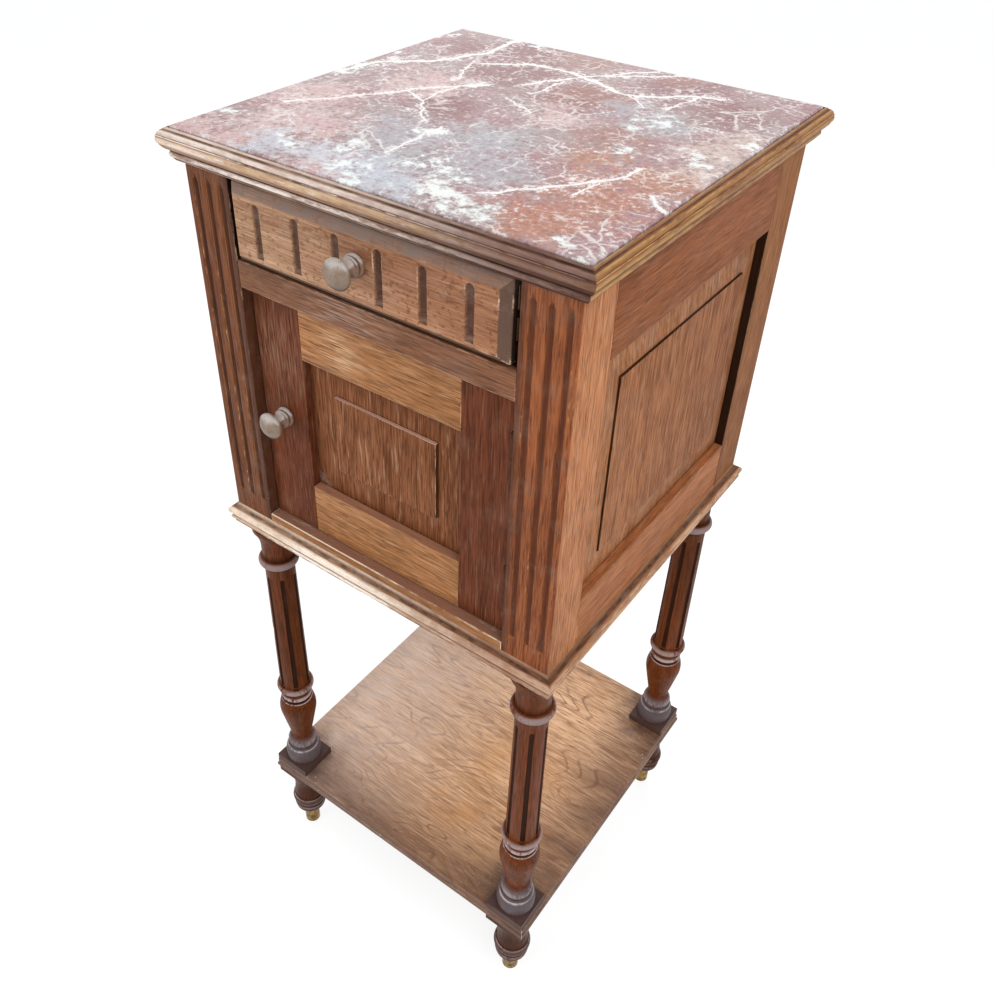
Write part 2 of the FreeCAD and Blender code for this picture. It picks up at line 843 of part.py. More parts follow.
def make_base_moulding():
    profile = scaled(BASE_SHARES, "base_moulding_projection", "base_moulding_height")
    depth = "base_moulding_projection"
    sizes = (profile, depth, depth, base_low, "base_moulding_height")
    for name, side in FRONT_BACK.items():
        make_moulding(f"base_moulding_{name}", "x", side, *sizes)
    for name, side in LEFT_RIGHT.items():
        make_moulding(f"base_moulding_{name}", "y", side, *sizes)


def make_marble_top():
    body = new_body("marble_slab")
    x = f"({half_width} + marble_overhang)"
    y = f"({half_depth} + marble_overhang)"
    sketch = outline(body, "XY_Plane", rectangle((f"-{x}", x), (f"-{y}", y)))
    slab = extrude(body, sketch, "marble_thickness")
    arris = body.newObject("PartDesign::Fillet", "arris")
    arris.Base = (slab, [outer_face(slab, FreeCAD.Vector(0, 0, 1))])
    bind(arris, Radius="marble_arris")
    place(body, "0", "0", ledge_top)
    finish("marble_top", body)


# Legs, shelf and feet

def corner_names():
    return [(f"{end}_{side}", FRONT_BACK[end], LEFT_RIGHT[side]) for end in FRONT_BACK for side in LEFT_RIGHT]


def square(x, y, width, z):
    across, along = [(f"{middle} - {width} / 2", f"{middle} + {width} / 2") for middle in (x, y)]
    return block(across, along, z)


def turned(name, shares, radius, height, x, y, z):
    body = new_body(name)
    turn(body, outline(body, "XZ_Plane", scaled(shares, radius, height)), "V_Axis")
    place(body, x, y, z)
    return body


def make_leg(corner, end, side):
    x = f"{side} * {leg_x}"
    y = f"{end} * {leg_y}"
    plinth_top = f"({shelf_top} + leg_block_height)"
    height = "(leg_length - leg_block_height)"
    pieces = [
        turned(f"leg_turning_{corner}", LEG_SHARES, "leg_turned_radius", height, x, y, plinth_top),
        square(x, y, "leg_block_width", (shelf_top, plinth_top)),
        rod(x, y, (leg_top, f"{leg_top} + dowel_length"), "dowel_radius"),
        rod(x, y, (f"{shelf_top} - shelf_thickness - foot_socket_depth", shelf_top), "dowel_radius"),
    ]
    flute_z = (
        f"{plinth_top} + {LEG_FLUTE_FOOT_SHARE} * {height}",
        f"{plinth_top} + {LEG_FLUTE_HEAD_SHARE} * {height}",
    )
    flutes = []
    for number in range(LEG_FLUTES):
        angle = LEG_FLUTE_STARTS[corner] + number * FULL_TURN / LEG_FLUTES
        flute_x = f"{x} + leg_flute_circle * cos({angle} deg)"
        flute_y = f"{y} + leg_flute_circle * sin({angle} deg)"
        flutes += flute(flute_x, flute_y, flute_z, "leg_flute_radius")
    finish(f"leg_{corner}", shaped(united(pieces), flutes))


def make_foot(corner, end, side):
    x = f"{side} * {leg_x}"
    y = f"{end} * {leg_y}"
    block_low = "(foot_height - leg_block_height)"
    height = f"({block_low} - foot_tip_height)"
    pieces = [
        turned(f"foot_turning_{corner}", FOOT_SHARES, "foot_turned_radius", height, x, y, "foot_tip_height"),
        square(x, y, "leg_block_width", (block_low, "foot_height")),
    ]
    socket = ("foot_height - foot_socket_depth - mortise_gap", "foot_height + cut_overrun")
    tip_socket = ("foot_tip_height - cut_overrun", "foot_tip_height + foot_spigot_length + mortise_gap")
    holes = [
        rod(x, y, socket, "dowel_radius + glue_gap"),
        rod(x, y, tip_socket, "foot_spigot_radius + glue_gap"),
    ]
    finish(f"foot_{corner}", shaped(united(pieces), holes))
    tip = rod(x, y, ("0", "foot_tip_height"), "foot_tip_radius")
    spigot = rod(x, y, ("foot_tip_height", "foot_tip_height + foot_spigot_length"), "foot_spigot_radius")
    finish(f"foot_tip_{corner}", united([tip, spigot]))


def shelf_layer(name, setback, low, high, rounded):
    body = new_body(name)
    x = f"({half_width} + shelf_overhang - ({setback}))"
    y = f"({half_depth} + shelf_overhang - ({setback}))"
    layer = extrude(body, outline(body, "XY_Plane", rectangle((f"-{x}", x), (f"-{y}", y))), f"{high} - {low}")
    if rounded:
        edge = body.newObject("PartDesign::Fillet", "edge")
        edge.Base = (layer, [outer_face(layer, FreeCAD.Vector(0, 0, 1))])
        bind(edge, Radius="shelf_edge_round")
    place(body, "0", "0", low)
    return body


def make_shelf():
    edge_top = "(foot_height + shelf_edge_height)"
    quirk_top = f"({edge_top} + shelf_quirk_height)"
    layers = [
        shelf_layer("shelf_lower_edge", "0", "foot_height", edge_top, True),
        shelf_layer("shelf_quirk", "shelf_quirk_depth + shelf_edge_round", "foot_height", quirk_top, False),
        shelf_layer("shelf_upper_edge", "shelf_edge_setback", quirk_top, shelf_top, True),
    ]
    hole_z = ("foot_height - cut_overrun", f"{shelf_top} + cut_overrun")
    holes = []
    for _, end, side in corner_names():
        holes.append(rod(f"{side} * {leg_x}", f"{end} * {leg_y}", hole_z, "dowel_radius + glue_gap"))
    finish("shelf", shaped(united(layers), holes))


# Knobs

def make_knob(label, x, y, z):
    body = new_body(f"{label}_turning")
    steps = [
        ("knob_spigot_length", "0"),
        ("knob_spigot_length", "knob_spigot_radius"),
        ("0", "knob_spigot_radius"),
    ]
    steps += scaled(KNOB_SHARES, "-knob_length", "knob_radius")
    rim_out_share, rim_radius_share = KNOB_SHARES[-1][-2:]
    rise = f"((1 - {rim_out_share}) * knob_length)"
    rim = f"({rim_radius_share} * knob_radius)"
    dome = f"(({rise} * {rise} + {rim} * {rim}) / (2 * {rise}))"
    crown = f"(knob_length - {dome} + sqrt({dome} * {dome} - {rim} * {rim} / 4))"
    steps.append((f"-{crown}", f"{rim} / 2", "-knob_length", "0"))
    turn(body, outline(body, "YZ_Plane", steps), "H_Axis")
    place(body, x, y, z)
    finish(label, body)


def knob_hole(x, y, z):
    hole = doc.addObject("Part::Cylinder", "knob_hole")
    bind(
        hole,
        Radius="knob_spigot_radius + glue_gap",
        Height="knob_spigot_length + mortise_gap + cut_overrun",
    )
    hole.Placement.Rotation = FreeCAD.Rotation(FreeCAD.Vector(1, 0, 0), -QUARTER_TURN)
    place(hole, x, f"{y} - cut_overrun", z)
    return hole


# The drawer

def tails(side, end, length, x):
    """Dovetails on the end of a drawer side, wider at the tip."""
    pieces = []
    root = drawer_front_back if end < 0 else drawer_back_inner
    for share in TAIL_SHARES:
        middle = f"({side_low} + {share} * ({side_high} - {side_low}))"
        wedge = doc.addObject("Part::Wedge", "tail")
        wide = (f"{middle} - tail_tip_width / 2", f"{middle} + tail_tip_width / 2")
        narrow = (f"{middle} - tail_root_width / 2", f"{middle} + tail_root_width / 2")
        near, far = (wide, narrow) if end < 0 else (narrow, wide)
        start = f"{root} - {length}" if end < 0 else root
        x_low, x_high = span(*x, side)
        bind(
            wedge,
            Xmin=x_low, Xmax=x_high, X2min=x_low, X2max=x_high,
            Ymin=start, Ymax=f"{start} + {length}",
            Zmin=near[0], Zmax=near[1], Z2min=far[0], Z2max=far[1],
        )
        pieces.append(wedge)
    return pieces


def drawer_bottom_board(housing):
    x = (f"-{drawer_inner} - {housing}", f"{drawer_inner} + {housing}")
    return block(x, (f"{drawer_front_back} - {housing}", drawer_rear), (bottom_low, bottom_high))


knob_level = f"(({drawer_face_low} + {drawer_face_high}) / 2 + drawer_knob_lift)"
side_x = (drawer_inner, drawer_half)


def make_drawer_front():
    body = new_body("drawer_front_board")
    face = rectangle((f"-{drawer_half}", drawer_half), (drawer_low, drawer_high))
    board = extrude(body, outline(body, "XZ_Plane", face), "drawer_front_thickness + drawer_bevel")
    bevel = body.newObject("PartDesign::Chamfer", "bevel")
    bevel.Base = (board, [outer_face(board, FreeCAD.Vector(0, -1, 0))])
    bind(bevel, Size="drawer_bevel")
    place(body, "0", drawer_front_back, "0")
    removals = [knob_hole("0", drawer_face, knob_level), drawer_bottom_board("drawer_bottom_housing")]
    for side in LEFT_RIGHT.values():
        removals += tails(side, -1, "tail_length", side_x)
    flute_z = (
        f"{drawer_face_low} + drawer_flute_margin",
        f"{drawer_face_high} - drawer_flute_margin - drawer_flute_radius",
    )
    for step in (-2.5, -1.5, -0.5, 0.5, 1.5, 2.5):
        x = f"{step} * drawer_flute_spacing"
        removals += flute(x, f"{drawer_face} - flute_rise", flute_z, "drawer_flute_radius", round_foot=False)
    finish("drawer_front", shaped(body, removals))
    make_knob("drawer_knob", "0", drawer_face, knob_level)


def make_drawer_box():
    for side_name, side in LEFT_RIGHT.items():
        pieces = [block(span(*side_x, side), (drawer_front_back, drawer_back_inner), (side_low, side_high))]
        pieces += tails(side, -1, "tail_length", side_x)
        pieces += tails(side, 1, "drawer_side_thickness", side_x)
        board = shaped(united(pieces), [drawer_bottom_board("drawer_bottom_housing")])
        finish(f"drawer_side_{side_name}", board)
    back = block((f"-{drawer_half}", drawer_half), (drawer_back_inner, drawer_rear), (bottom_high, side_high))
    sockets = []
    for side in LEFT_RIGHT.values():
        sockets += tails(side, 1, "drawer_side_thickness", side_x)
    finish("drawer_back", shaped(back, sockets))
    finish("drawer_bottom", drawer_bottom_board("(drawer_bottom_housing - panel_float)"))


# The door

door_rails = {"top": (door_rail_high_low, door_high), "bottom": (door_low, door_rail_low_top)}
door_groove_z = (f"{door_rail_low_top} - groove_depth", f"{door_rail_high_low} + groove_depth")


def door_tenon(side, low, high, gap="0"):
    x = span(stile_inner, f"{stile_inner} + door_tenon_length + {gap}", side)
    return block(x, door_ground, (f"{low} + groove_depth", f"{high} - groove_depth"))


def door_groove():
    x = (f"-{stile_inner} - groove_depth", f"{stile_inner} + groove_depth")
    return block(x, door_ground, door_groove_z)


door_knob_place = (
    f"-({stile_inner} + door_stile_width / 2)",
    door_face,
    f"({door_low} + {door_high}) / 2",
)


def make_door():
    y = (door_face, door_back)
    for side_name, side in LEFT_RIGHT.items():
        stock = block(span(stile_inner, door_half, side), y, (door_low, door_high))
        removals = [door_groove()]
        removals += [door_tenon(side, low, high, "mortise_gap") for low, high in door_rails.values()]
        if side > 0:
            removals += [block(door_leaf_x, leaf_y, (foot, f"{foot} + hinge_height")) for foot in hinge_feet]
            removals += leaf_screws(door_leaf_x[1], -1, "glue_gap")
        else:
            removals.append(knob_hole(*door_knob_place))
        finish(f"door_stile_{side_name}", shaped(stock, removals))
    for rail_name, (low, high) in door_rails.items():
        pieces = [block((f"-{stile_inner}", stile_inner), y, (low, high))]
        pieces += [door_tenon(side, low, high) for side in LEFT_RIGHT.values()]
        finish(f"door_rail_{rail_name}", shaped(united(pieces), [door_groove()]))
    panel_x = (f"-{stile_inner} - {panel_lip}", f"{stile_inner} + {panel_lip}")
    ground_z = (f"{door_rail_low_top} - {panel_lip}", f"{door_rail_high_low} + {panel_lip}")
    ground = block(panel_x, door_ground, ground_z)
    field = block(
        (f"-{stile_inner} + door_field_margin", f"{stile_inner} - door_field_margin"),
        (f"{door_ground[0]} - door_field_rise", door_ground[0]),
        (f"{door_rail_low_top} + door_field_margin", f"{door_rail_high_low} - door_field_margin"),
    )
    finish("door_panel", united([ground, field]))
    make_knob("door_knob", *door_knob_place)


def make_hinges():
    finish("hinge_case_leaves", group([case_leaf(foot) for foot in hinge_feet]))
    finish("hinge_door_leaves", group([door_leaf(foot) for foot in hinge_feet]))
    finish("hinge_pins", group([hinge_pin(foot) for foot in hinge_feet]))
    finish("hinge_case_screws", group(leaf_screws(case_leaf_x[0], 1)))
    finish("hinge_door_screws", group(leaf_screws(door_leaf_x[1], -1)))


def build():
    make_marble_top()
    make_cornice()
    for end_name in FRONT_BACK:
        for side_name in LEFT_RIGHT:
            make_post(end_name, side_name)
    for side_name in LEFT_RIGHT:
        make_side_rails(side_name)
        make_side_panel(side_name)
        make_drawer_runner(side_name)
    make_back()
    make_front_rails()
    make_case_floor()
    finish("dust_panel", dust_panel_housing(panel_lip))
    make_door_stop()
    make_base_moulding()
    for corner in corner_names():
        make_leg(*corner)
        make_foot(*corner)
    make_shelf()
    make_drawer_front()
    make_drawer_box()
    make_door()
    make_hinges()


def check_and_write():
    doc.recompute()
    for piece in doc.Objects:
        if "Invalid" in piece.State or "Error" in piece.State:
            raise RuntimeError(f"{piece.Name} ({piece.Label}) failed: {piece.State}")
    for piece in nodes:
        if piece.Shape.isNull() or not piece.Shape.isValid():
            raise RuntimeError(f"{piece.Label} has no valid shape")
    os.makedirs("parts", exist_ok=True)
    for piece in nodes:
        piece.Shape.exportStep(f"parts/{piece.Label}.step")
        print(piece.Label, len(piece.Shape.Solids), round(piece.Shape.Volume))


build()
check_and_write()
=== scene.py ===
import math
import random

import bmesh
import bpy
from mathutils import Matrix, Vector, kdtree


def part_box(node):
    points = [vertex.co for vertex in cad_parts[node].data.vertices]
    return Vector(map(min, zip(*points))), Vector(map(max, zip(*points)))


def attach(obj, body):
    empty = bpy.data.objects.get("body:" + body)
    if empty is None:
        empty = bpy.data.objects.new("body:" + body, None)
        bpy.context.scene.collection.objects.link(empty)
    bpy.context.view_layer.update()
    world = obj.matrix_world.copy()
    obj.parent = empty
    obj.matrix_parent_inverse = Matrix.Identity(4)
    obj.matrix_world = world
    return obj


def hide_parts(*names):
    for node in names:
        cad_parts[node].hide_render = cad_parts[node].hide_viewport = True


# The finish of an oak nightstand with a marble top: worn boards, turned legs, mouldings, stone and metal.
# Metres, in the same frame as the solids: +Z up, front towards -Y.

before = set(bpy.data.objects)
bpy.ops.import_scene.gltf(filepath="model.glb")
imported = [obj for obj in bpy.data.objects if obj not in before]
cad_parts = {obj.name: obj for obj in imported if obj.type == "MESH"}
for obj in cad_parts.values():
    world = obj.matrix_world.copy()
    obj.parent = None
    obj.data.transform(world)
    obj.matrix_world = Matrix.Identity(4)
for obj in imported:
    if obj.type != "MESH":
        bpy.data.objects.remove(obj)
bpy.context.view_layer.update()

MM = 0.001
CORNERS = ("front_left", "front_right", "back_left", "back_right")
SIDES = ("left", "right")
EDGES = ("front", "back", "left", "right")


def tint(code):
    """A display colour as linear red, green, blue and alpha."""
    channels = [int(code[start:start + 2], 16) / 255 for start in (0, 2, 4)]
    linear = [c / 12.92 if c <= 0.04045 else ((c + 0.055) / 1.055) ** 2.4 for c in channels]
    return (*linear, 1.0)


# Shader nodes

def feed(tree, made, inputs):
    """Links each input of a node to a socket, or sets it to a value."""
    for name, value in dict(inputs).items():
        if isinstance(value, bpy.types.NodeSocket):
            tree.links.new(value, made.inputs[name])
        else:
            made.inputs[name].default_value = value
    return made


def put(tree, kind, inputs=(), **settings):
    """A node with its settings and its inputs."""
    made = tree.nodes.new(f"ShaderNode{kind}")
    for name, setting in settings.items():
        setattr(made, name, setting)
    return feed(tree, made, inputs)


def calc(tree, operation, *values):
    return put(tree, "Math", enumerate(values), operation=operation).outputs[0]


def vector_calc(tree, operation, *values):
    return put(tree, "VectorMath", enumerate(values), operation=operation).outputs["Vector"]


def ease(tree, value, low, high):
    """Nought below low, one above high, eased between them."""
    inputs = {"Value": value, "From Min": low, "From Max": high}
    return put(tree, "MapRange", inputs, interpolation_type="SMOOTHSTEP").outputs[0]


def spread(tree, value, low, high):
    """A nought-to-one value spread over a range."""
    return put(tree, "MapRange", {"Value": value, "To Min": low, "To Max": high}).outputs[0]


def mixed(tree, share, first, second, way="MIX"):
    return put(tree, "Mix", {0: share, 6: first, 7: second}, data_type="RGBA", blend_type=way).outputs[2]


def noise(tree, vector, scale, detail=3.0, roughness=0.55, distortion=0.0):
    inputs = {"Vector": vector, "Scale": scale, "Detail": detail, "Roughness": roughness}
    return put(tree, "TexNoise", {**inputs, "Distortion": distortion}).outputs["Fac"]


def stretched(tree, vector, scales):
    return vector_calc(tree, "MULTIPLY", vector, scales)


def attribute(tree, name, output):
    return put(tree, "Attribute", attribute_name=name).outputs[output]


def times(tree, *values):
    product = values[0]
    for value in values[1:]:
        product = calc(tree, "MULTIPLY", product, value)
    return product


def parts(tree, vector):
    return put(tree, "SeparateXYZ", {0: vector}).outputs


def distance(tree, first, second):
    return put(tree, "VectorMath", {0: first, 1: second}, operation="DISTANCE").outputs["Value"]


def new_group(name, inputs, outputs):
    """A shader group, the sockets that its inputs give and the sockets that its outputs take."""
    group = bpy.data.node_groups.new(name, "ShaderNodeTree")
    for label, kind in inputs.items():
        group.interface.new_socket(label, in_out="INPUT", socket_type=f"NodeSocket{kind}")
    for label, kind in outputs.items():
        group.interface.new_socket(label, in_out="OUTPUT", socket_type=f"NodeSocket{kind}")
    given = group.nodes.new("NodeGroupInput").outputs
    taken = group.nodes.new("NodeGroupOutput").inputs
    return group, given, taken


def use(tree, group, inputs):
    return feed(tree, put(tree, "Group", node_tree=group), inputs).outputs


# Effects that several finishes share

# How densely the oak's figure is set, along its grain and twice across it, per metre
DRIFT_DENSITY = (2.2, 15.0, 15.0)
BAND_DENSITY = (5.0, 85.0, 85.0)
LINE_DENSITY = (42.0, 850.0, 850.0)
RAY_DENSITY = (30.0, 300.0, 300.0)
FLECK_DENSITY = (20.0, 300.0, 300.0)
PORE_DENSITY = (52.0, 820.0, 820.0)
RAY_SHIFT = (3.1, 1.7, 2.3)
FLECK_SLANT = math.radians(50)


def make_oak_grain():
    """Oak figure along the first axis of the grain: bands, fine lines, pores, pale rays and dark flecks."""
    strengths = ("Bands", "Lines", "Pores", "Rays", "Flecks")
    tree, given, taken = new_group(
        "oak_grain",
        {"Grain": "Vector", "Light": "Color", "Dark": "Color", **{name: "Float" for name in strengths}},
        {"Color": "Color", "Height": "Float", "Tone": "Float"},
    )
    grain = given["Grain"]
    drift = noise(tree, stretched(tree, grain, DRIFT_DENSITY), 1.0, 2.0)
    bands = noise(tree, stretched(tree, grain, BAND_DENSITY), 1.0, 3.0, 0.6, 0.6)
    lines = noise(tree, stretched(tree, grain, LINE_DENSITY), 1.0, 3.0, 0.6)
    wide = calc(tree, "SUBTRACT", calc(tree, "ADD", drift, bands), 1.0)
    narrow = calc(tree, "SUBTRACT", lines, 0.5)
    tone = calc(tree, "MULTIPLY_ADD", times(tree, wide, given["Bands"]), 1.5, 0.5)
    tone = calc(tree, "MULTIPLY_ADD", times(tree, narrow, given["Lines"]), 2.2, tone)
    tone = put(tree, "Clamp", {"Value": tone}).outputs[0]
    figure = mixed(tree, tone, given["Light"], given["Dark"])

    shifted = vector_calc(tree, "ADD", grain, RAY_SHIFT)
    ray_noise = noise(tree, stretched(tree, shifted, RAY_DENSITY), 1.0, 2.0)
    rays = times(tree, ease(tree, ray_noise, 0.56, 0.72), given["Rays"])
    figure = mixed(tree, rays, figure, mixed(tree, 0.45, given["Light"], tint("e6c7a6")))

    slant = {"Vector": grain, "Axis": (0.0, 0.0, 1.0), "Angle": FLECK_SLANT}
    slanted = put(tree, "VectorRotate", slant).outputs[0]
    fleck_noise = noise(tree, stretched(tree, slanted, FLECK_DENSITY), 1.0, 1.0, 0.5)
    flecks = times(tree, ease(tree, fleck_noise, 0.58, 0.68), given["Flecks"])
    figure = mixed(tree, flecks, figure, mixed(tree, 0.6, given["Dark"], tint("5a3a24")))

    pore_noise = noise(tree, stretched(tree, grain, PORE_DENSITY), 1.0, 2.0, 0.6)
    pores = times(tree, ease(tree, pore_noise, 0.56, 0.68), given["Pores"])
    pore_color = mixed(tree, 0.6, given["Dark"], tint("1c0f08"))
    figure = mixed(tree, calc(tree, "MULTIPLY", pores, 0.75), figure, pore_color)

    height = calc(tree, "SUBTRACT", calc(tree, "MULTIPLY", lines, 0.6), pores)
    tree.links.new(figure, taken["Color"])
    tree.links.new(height, taken["Height"])
    tree.links.new(tone, taken["Tone"])
    return tree


def make_board_edges():
    """How near a point is to the edges of its board's box: the middle one of its three wall distances."""
    tree, given, taken = new_group("board_edges", {"Walls": "Vector"}, {"Distance": "Float"})
    walls = parts(tree, given["Walls"])
    near = calc(tree, "MINIMUM", walls[0], walls[1])
    far = calc(tree, "MAXIMUM", walls[0], walls[1])
    middle = calc(tree, "MAXIMUM", near, calc(tree, "MINIMUM", far, walls[2]))
    tree.links.new(middle, taken["Distance"])
    return tree


def make_patchy_wear():
    """Rubbed places: a mask that noise breaks up, so that an edge is worn in stretches."""
    tree, given, taken = new_group(
        "patchy_wear", {"Place": "Vector", "Mask": "Float", "Cover": "Float"}, {"Wear": "Float"}
    )
    broad = noise(tree, given["Place"], 38.0, 3.0)
    fine = noise(tree, given["Place"], 420.0, 3.0, 0.65)
    patch = calc(tree, "ADD", calc(tree, "MULTIPLY", broad, 0.6), calc(tree, "MULTIPLY", fine, 0.4))
    bar = calc(tree, "SUBTRACT", 0.78, calc(tree, "MULTIPLY", given["Cover"], 0.5))
    rubbed = ease(tree, patch, bar, calc(tree, "ADD", bar, 0.14))
    tree.links.new(times(tree, rubbed, given["Mask"]), taken["Wear"])
    return tree


def make_knocks():
    """Small dark dents and worm holes, sparse and of uneven size."""
    tree, given, taken = new_group("knocks", {"Place": "Vector", "Amount": "Float"}, {"Mask": "Float"})
    cells = put(tree, "TexVoronoi", {"Vector": given["Place"], "Scale": 95.0, "Randomness": 1.0})
    pick = put(tree, "SeparateColor", {"Color": cells.outputs["Color"]}).outputs
    chosen = ease(tree, pick[0], calc(tree, "SUBTRACT", 1.0, given["Amount"]), 1.0)
    size = spread(tree, pick[1], 0.03, 0.10)
    dot = ease(tree, calc(tree, "SUBTRACT", size, cells.outputs["Distance"]), 0.0, 0.05)
    tree.links.new(times(tree, dot, chosen), taken["Mask"])
    return tree


def make_vein():
    """How many widths a place lies away from a straight piece of vein."""
    tree, given, taken = new_group(
        "vein", {"Place": "Vector", "Start": "Vector", "End": "Vector", "Width": "Float"}, {"Gap": "Float"}
    )
    run = vector_calc(tree, "SUBTRACT", given["End"], given["Start"])
    out = vector_calc(tree, "SUBTRACT", given["Place"], given["Start"])
    along = put(tree, "VectorMath", {0: out, 1: run}, operation="DOT_PRODUCT").outputs["Value"]
    length = put(tree, "VectorMath", {0: run, 1: run}, operation="DOT_PRODUCT").outputs["Value"]
    share = put(tree, "Clamp", {"Value": calc(tree, "DIVIDE", along, length)}).outputs[0]
    foot = put(tree, "VectorMath", {0: run, "Scale": share}, operation="SCALE").outputs["Vector"]
    tree.links.new(calc(tree, "DIVIDE", distance(tree, out, foot), given["Width"]), taken["Gap"])
    return tree


OAK_GRAIN = make_oak_grain()
BOARD_EDGES = make_board_edges()
PATCHY_WEAR = make_patchy_wear()
KNOCKS = make_knocks()
VEIN = make_vein()


# Finishes

def new_material(name):
    material = bpy.data.materials.new(name)
    material.use_nodes = True
    tree = material.node_tree
    tree.nodes.clear()
    shader = put(tree, "BsdfPrincipled")
    output = tree.nodes.new("ShaderNodeOutputMaterial")
    tree.links.new(shader.outputs[0], output.inputs["Surface"])
    return material, tree, shader


def object_place(tree):
    return put(tree, "TexCoord").outputs["Object"]


def give_bump(tree, shader, height, depth, strength=0.6):
    bump = put(tree, "Bump", {"Height": height, "Distance": depth, "Strength": strength})
    tree.links.new(bump.outputs[0], shader.inputs["Normal"])


# Depths behind the front face between which the painted shade in a flute deepens, in millimetres
FLUTE_DEPTHS = (0.2, 2.4)
SCRATCH_DENSITY = (160.0, 900.0, 900.0)


class Oak:
    """One oak finish: its colours, how strong its figure is, where it is worn and dusty, and where painted
    shade darkens its hollows.
    """

    def __init__(
        self, name, light, dark, bands=1.0, lines=1.0, pores=0.6, rays=0.15, flecks=0.0,
        polish=0.45, sheen=0.14,
    ):
        self.material, self.tree, self.shader = new_material(name)
        tree = self.tree
        self.place = object_place(tree)
        self.at = parts(tree, self.place)
        from_low = attribute(tree, "from_low", "Vector")
        to_high = attribute(tree, "to_high", "Vector")
        self.from_low = parts(tree, from_low)
        self.to_high = parts(tree, to_high)
        self.walls = vector_calc(tree, "MINIMUM", from_low, to_high)
        self.wall = parts(tree, self.walls)
        self.facing = parts(tree, attribute(tree, "facing", "Vector"))
        grain = attribute(tree, "grain", "Vector")
        self.streak = stretched(tree, grain, (0.25, 1.0, 1.0))
        figure = use(tree, OAK_GRAIN, {
            "Grain": grain, "Light": tint(light), "Dark": tint(dark),
            "Bands": bands, "Lines": lines, "Pores": pores, "Rays": rays, "Flecks": flecks,
        })
        self.color = figure["Color"]
        self.height = figure["Height"]
        self.dull = calc(tree, "MULTIPLY", figure["Tone"], 0.12)
        self.polish = polish
        self.shader.inputs["Specular IOR Level"].default_value = sheen

    def looking(self, axis, way):
        """The faces that look along an axis, one way or the other."""
        return ease(self.tree, calc(self.tree, "MULTIPLY", self.facing[axis], float(way)), 0.3, 0.6)

    def ramp(self, value, start, end):
        """Nought up to one from a start to an end, both in millimetres."""
        return ease(self.tree, value, start * MM, end * MM)

    def between(self, value, low, high, soft=0.4):
        """A strip between two distances in millimetres, with soft sides."""
        rise = self.ramp(value, low - soft, low + soft)
        return times(self.tree, rise, self.ramp(value, high + soft, high - soft))

    def near(self, value, reach):
        """One at a wall, nought from the given distance in millimetres on."""
        return self.ramp(value, reach, 0.0)

    def round_place(self, middle, reach):
        """A soft patch round a place, both in millimetres."""
        gap = distance(self.tree, self.place, tuple(c * MM for c in middle))
        return self.ramp(gap, reach, 0.2 * reach)

    def cloud(self, scale, low=0.42, high=0.62, detail=4.0):
        return ease(self.tree, noise(self.tree, self.place, scale, detail, 0.65), low, high)

    def paint(self, code, *masks, way="MIX"):
        self.color = mixed(self.tree, times(self.tree, *masks), self.color, tint(code), way)

    def roughen(self, mask, amount):
        self.dull = calc(self.tree, "MULTIPLY_ADD", mask, amount, self.dull)

    def wear(self, mask, cover, code):
        worn = use(self.tree, PATCHY_WEAR, {"Place": self.streak, "Mask": mask, "Cover": cover})["Wear"]
        self.paint(code, worn)
        self.roughen(worn, 0.12)

    def wear_arrises(self, code, cover=0.75):
        self.wear(attribute(self.tree, "arris", "Fac"), cover, code)

    def scratches(self, code, middle, reach, amount):
        """Pale scratches along the grain, round a place."""
        marks = noise(self.tree, stretched(self.tree, self.streak, SCRATCH_DENSITY), 1.0, 2.0)
        self.paint(code, self.round_place(middle, reach), ease(self.tree, marks, 0.46, 0.62), amount)

    def shade_edges(self, code, reach=12.0, amount=0.5):
        edge = use(self.tree, BOARD_EDGES, {"Walls": self.walls})["Distance"]
        self.paint(code, self.near(edge, reach), self.cloud(60.0, 0.35, 0.7), amount)

    def shade_flutes(self, code, margin, amount=0.85):
        """Darkens the flutes with painted shade: what lies behind the front face and away from the board's
        own edges.
        """
        tree = self.tree
        inside = calc(tree, "MINIMUM", self.wall[0], self.wall[2])
        behind = self.ramp(self.from_low[1], *FLUTE_DEPTHS)
        sunk = times(tree, behind, self.ramp(inside, 0.9 * margin, margin))
        self.paint(code, sunk, amount)
        self.roughen(sunk, 0.2)
        return sunk

    def relief(self, crest_code, groove_code, cover, crest, groove, amount=0.9, share=1.0):
        """Rubs the crests of a moulded or turned piece and darkens its grooves with painted shade."""
        level = attribute(self.tree, "relief", "Fac")
        self.wear(times(self.tree, ease(self.tree, level, *crest), share), cover, crest_code)
        sunk = ease(self.tree, calc(self.tree, "MULTIPLY", level, -1.0), *groove)
        self.paint(groove_code, sunk, amount)
        self.roughen(sunk, 0.2)

    def dust(self, code, amount=0.25, scale=26.0):
        mask = times(self.tree, self.cloud(scale, 0.48, 0.75, 5.0), amount)
        self.paint(code, mask)
        self.roughen(mask, 0.3)

    def knock(self, amount=0.1, code="21130b"):
        dents = use(self.tree, KNOCKS, {"Place": self.place, "Amount": amount})["Mask"]
        self.paint(code, dents, 0.85)
        self.height = calc(self.tree, "SUBTRACT", self.height, dents)

    def done(self, bump=0.3):
        tree = self.tree
        tree.links.new(self.color, self.shader.inputs["Base Color"])
        tree.links.new(calc(tree, "ADD", self.dull, self.polish), self.shader.inputs["Roughness"])
        give_bump(tree, self.shader, self.height, bump * MM)
        return self.material


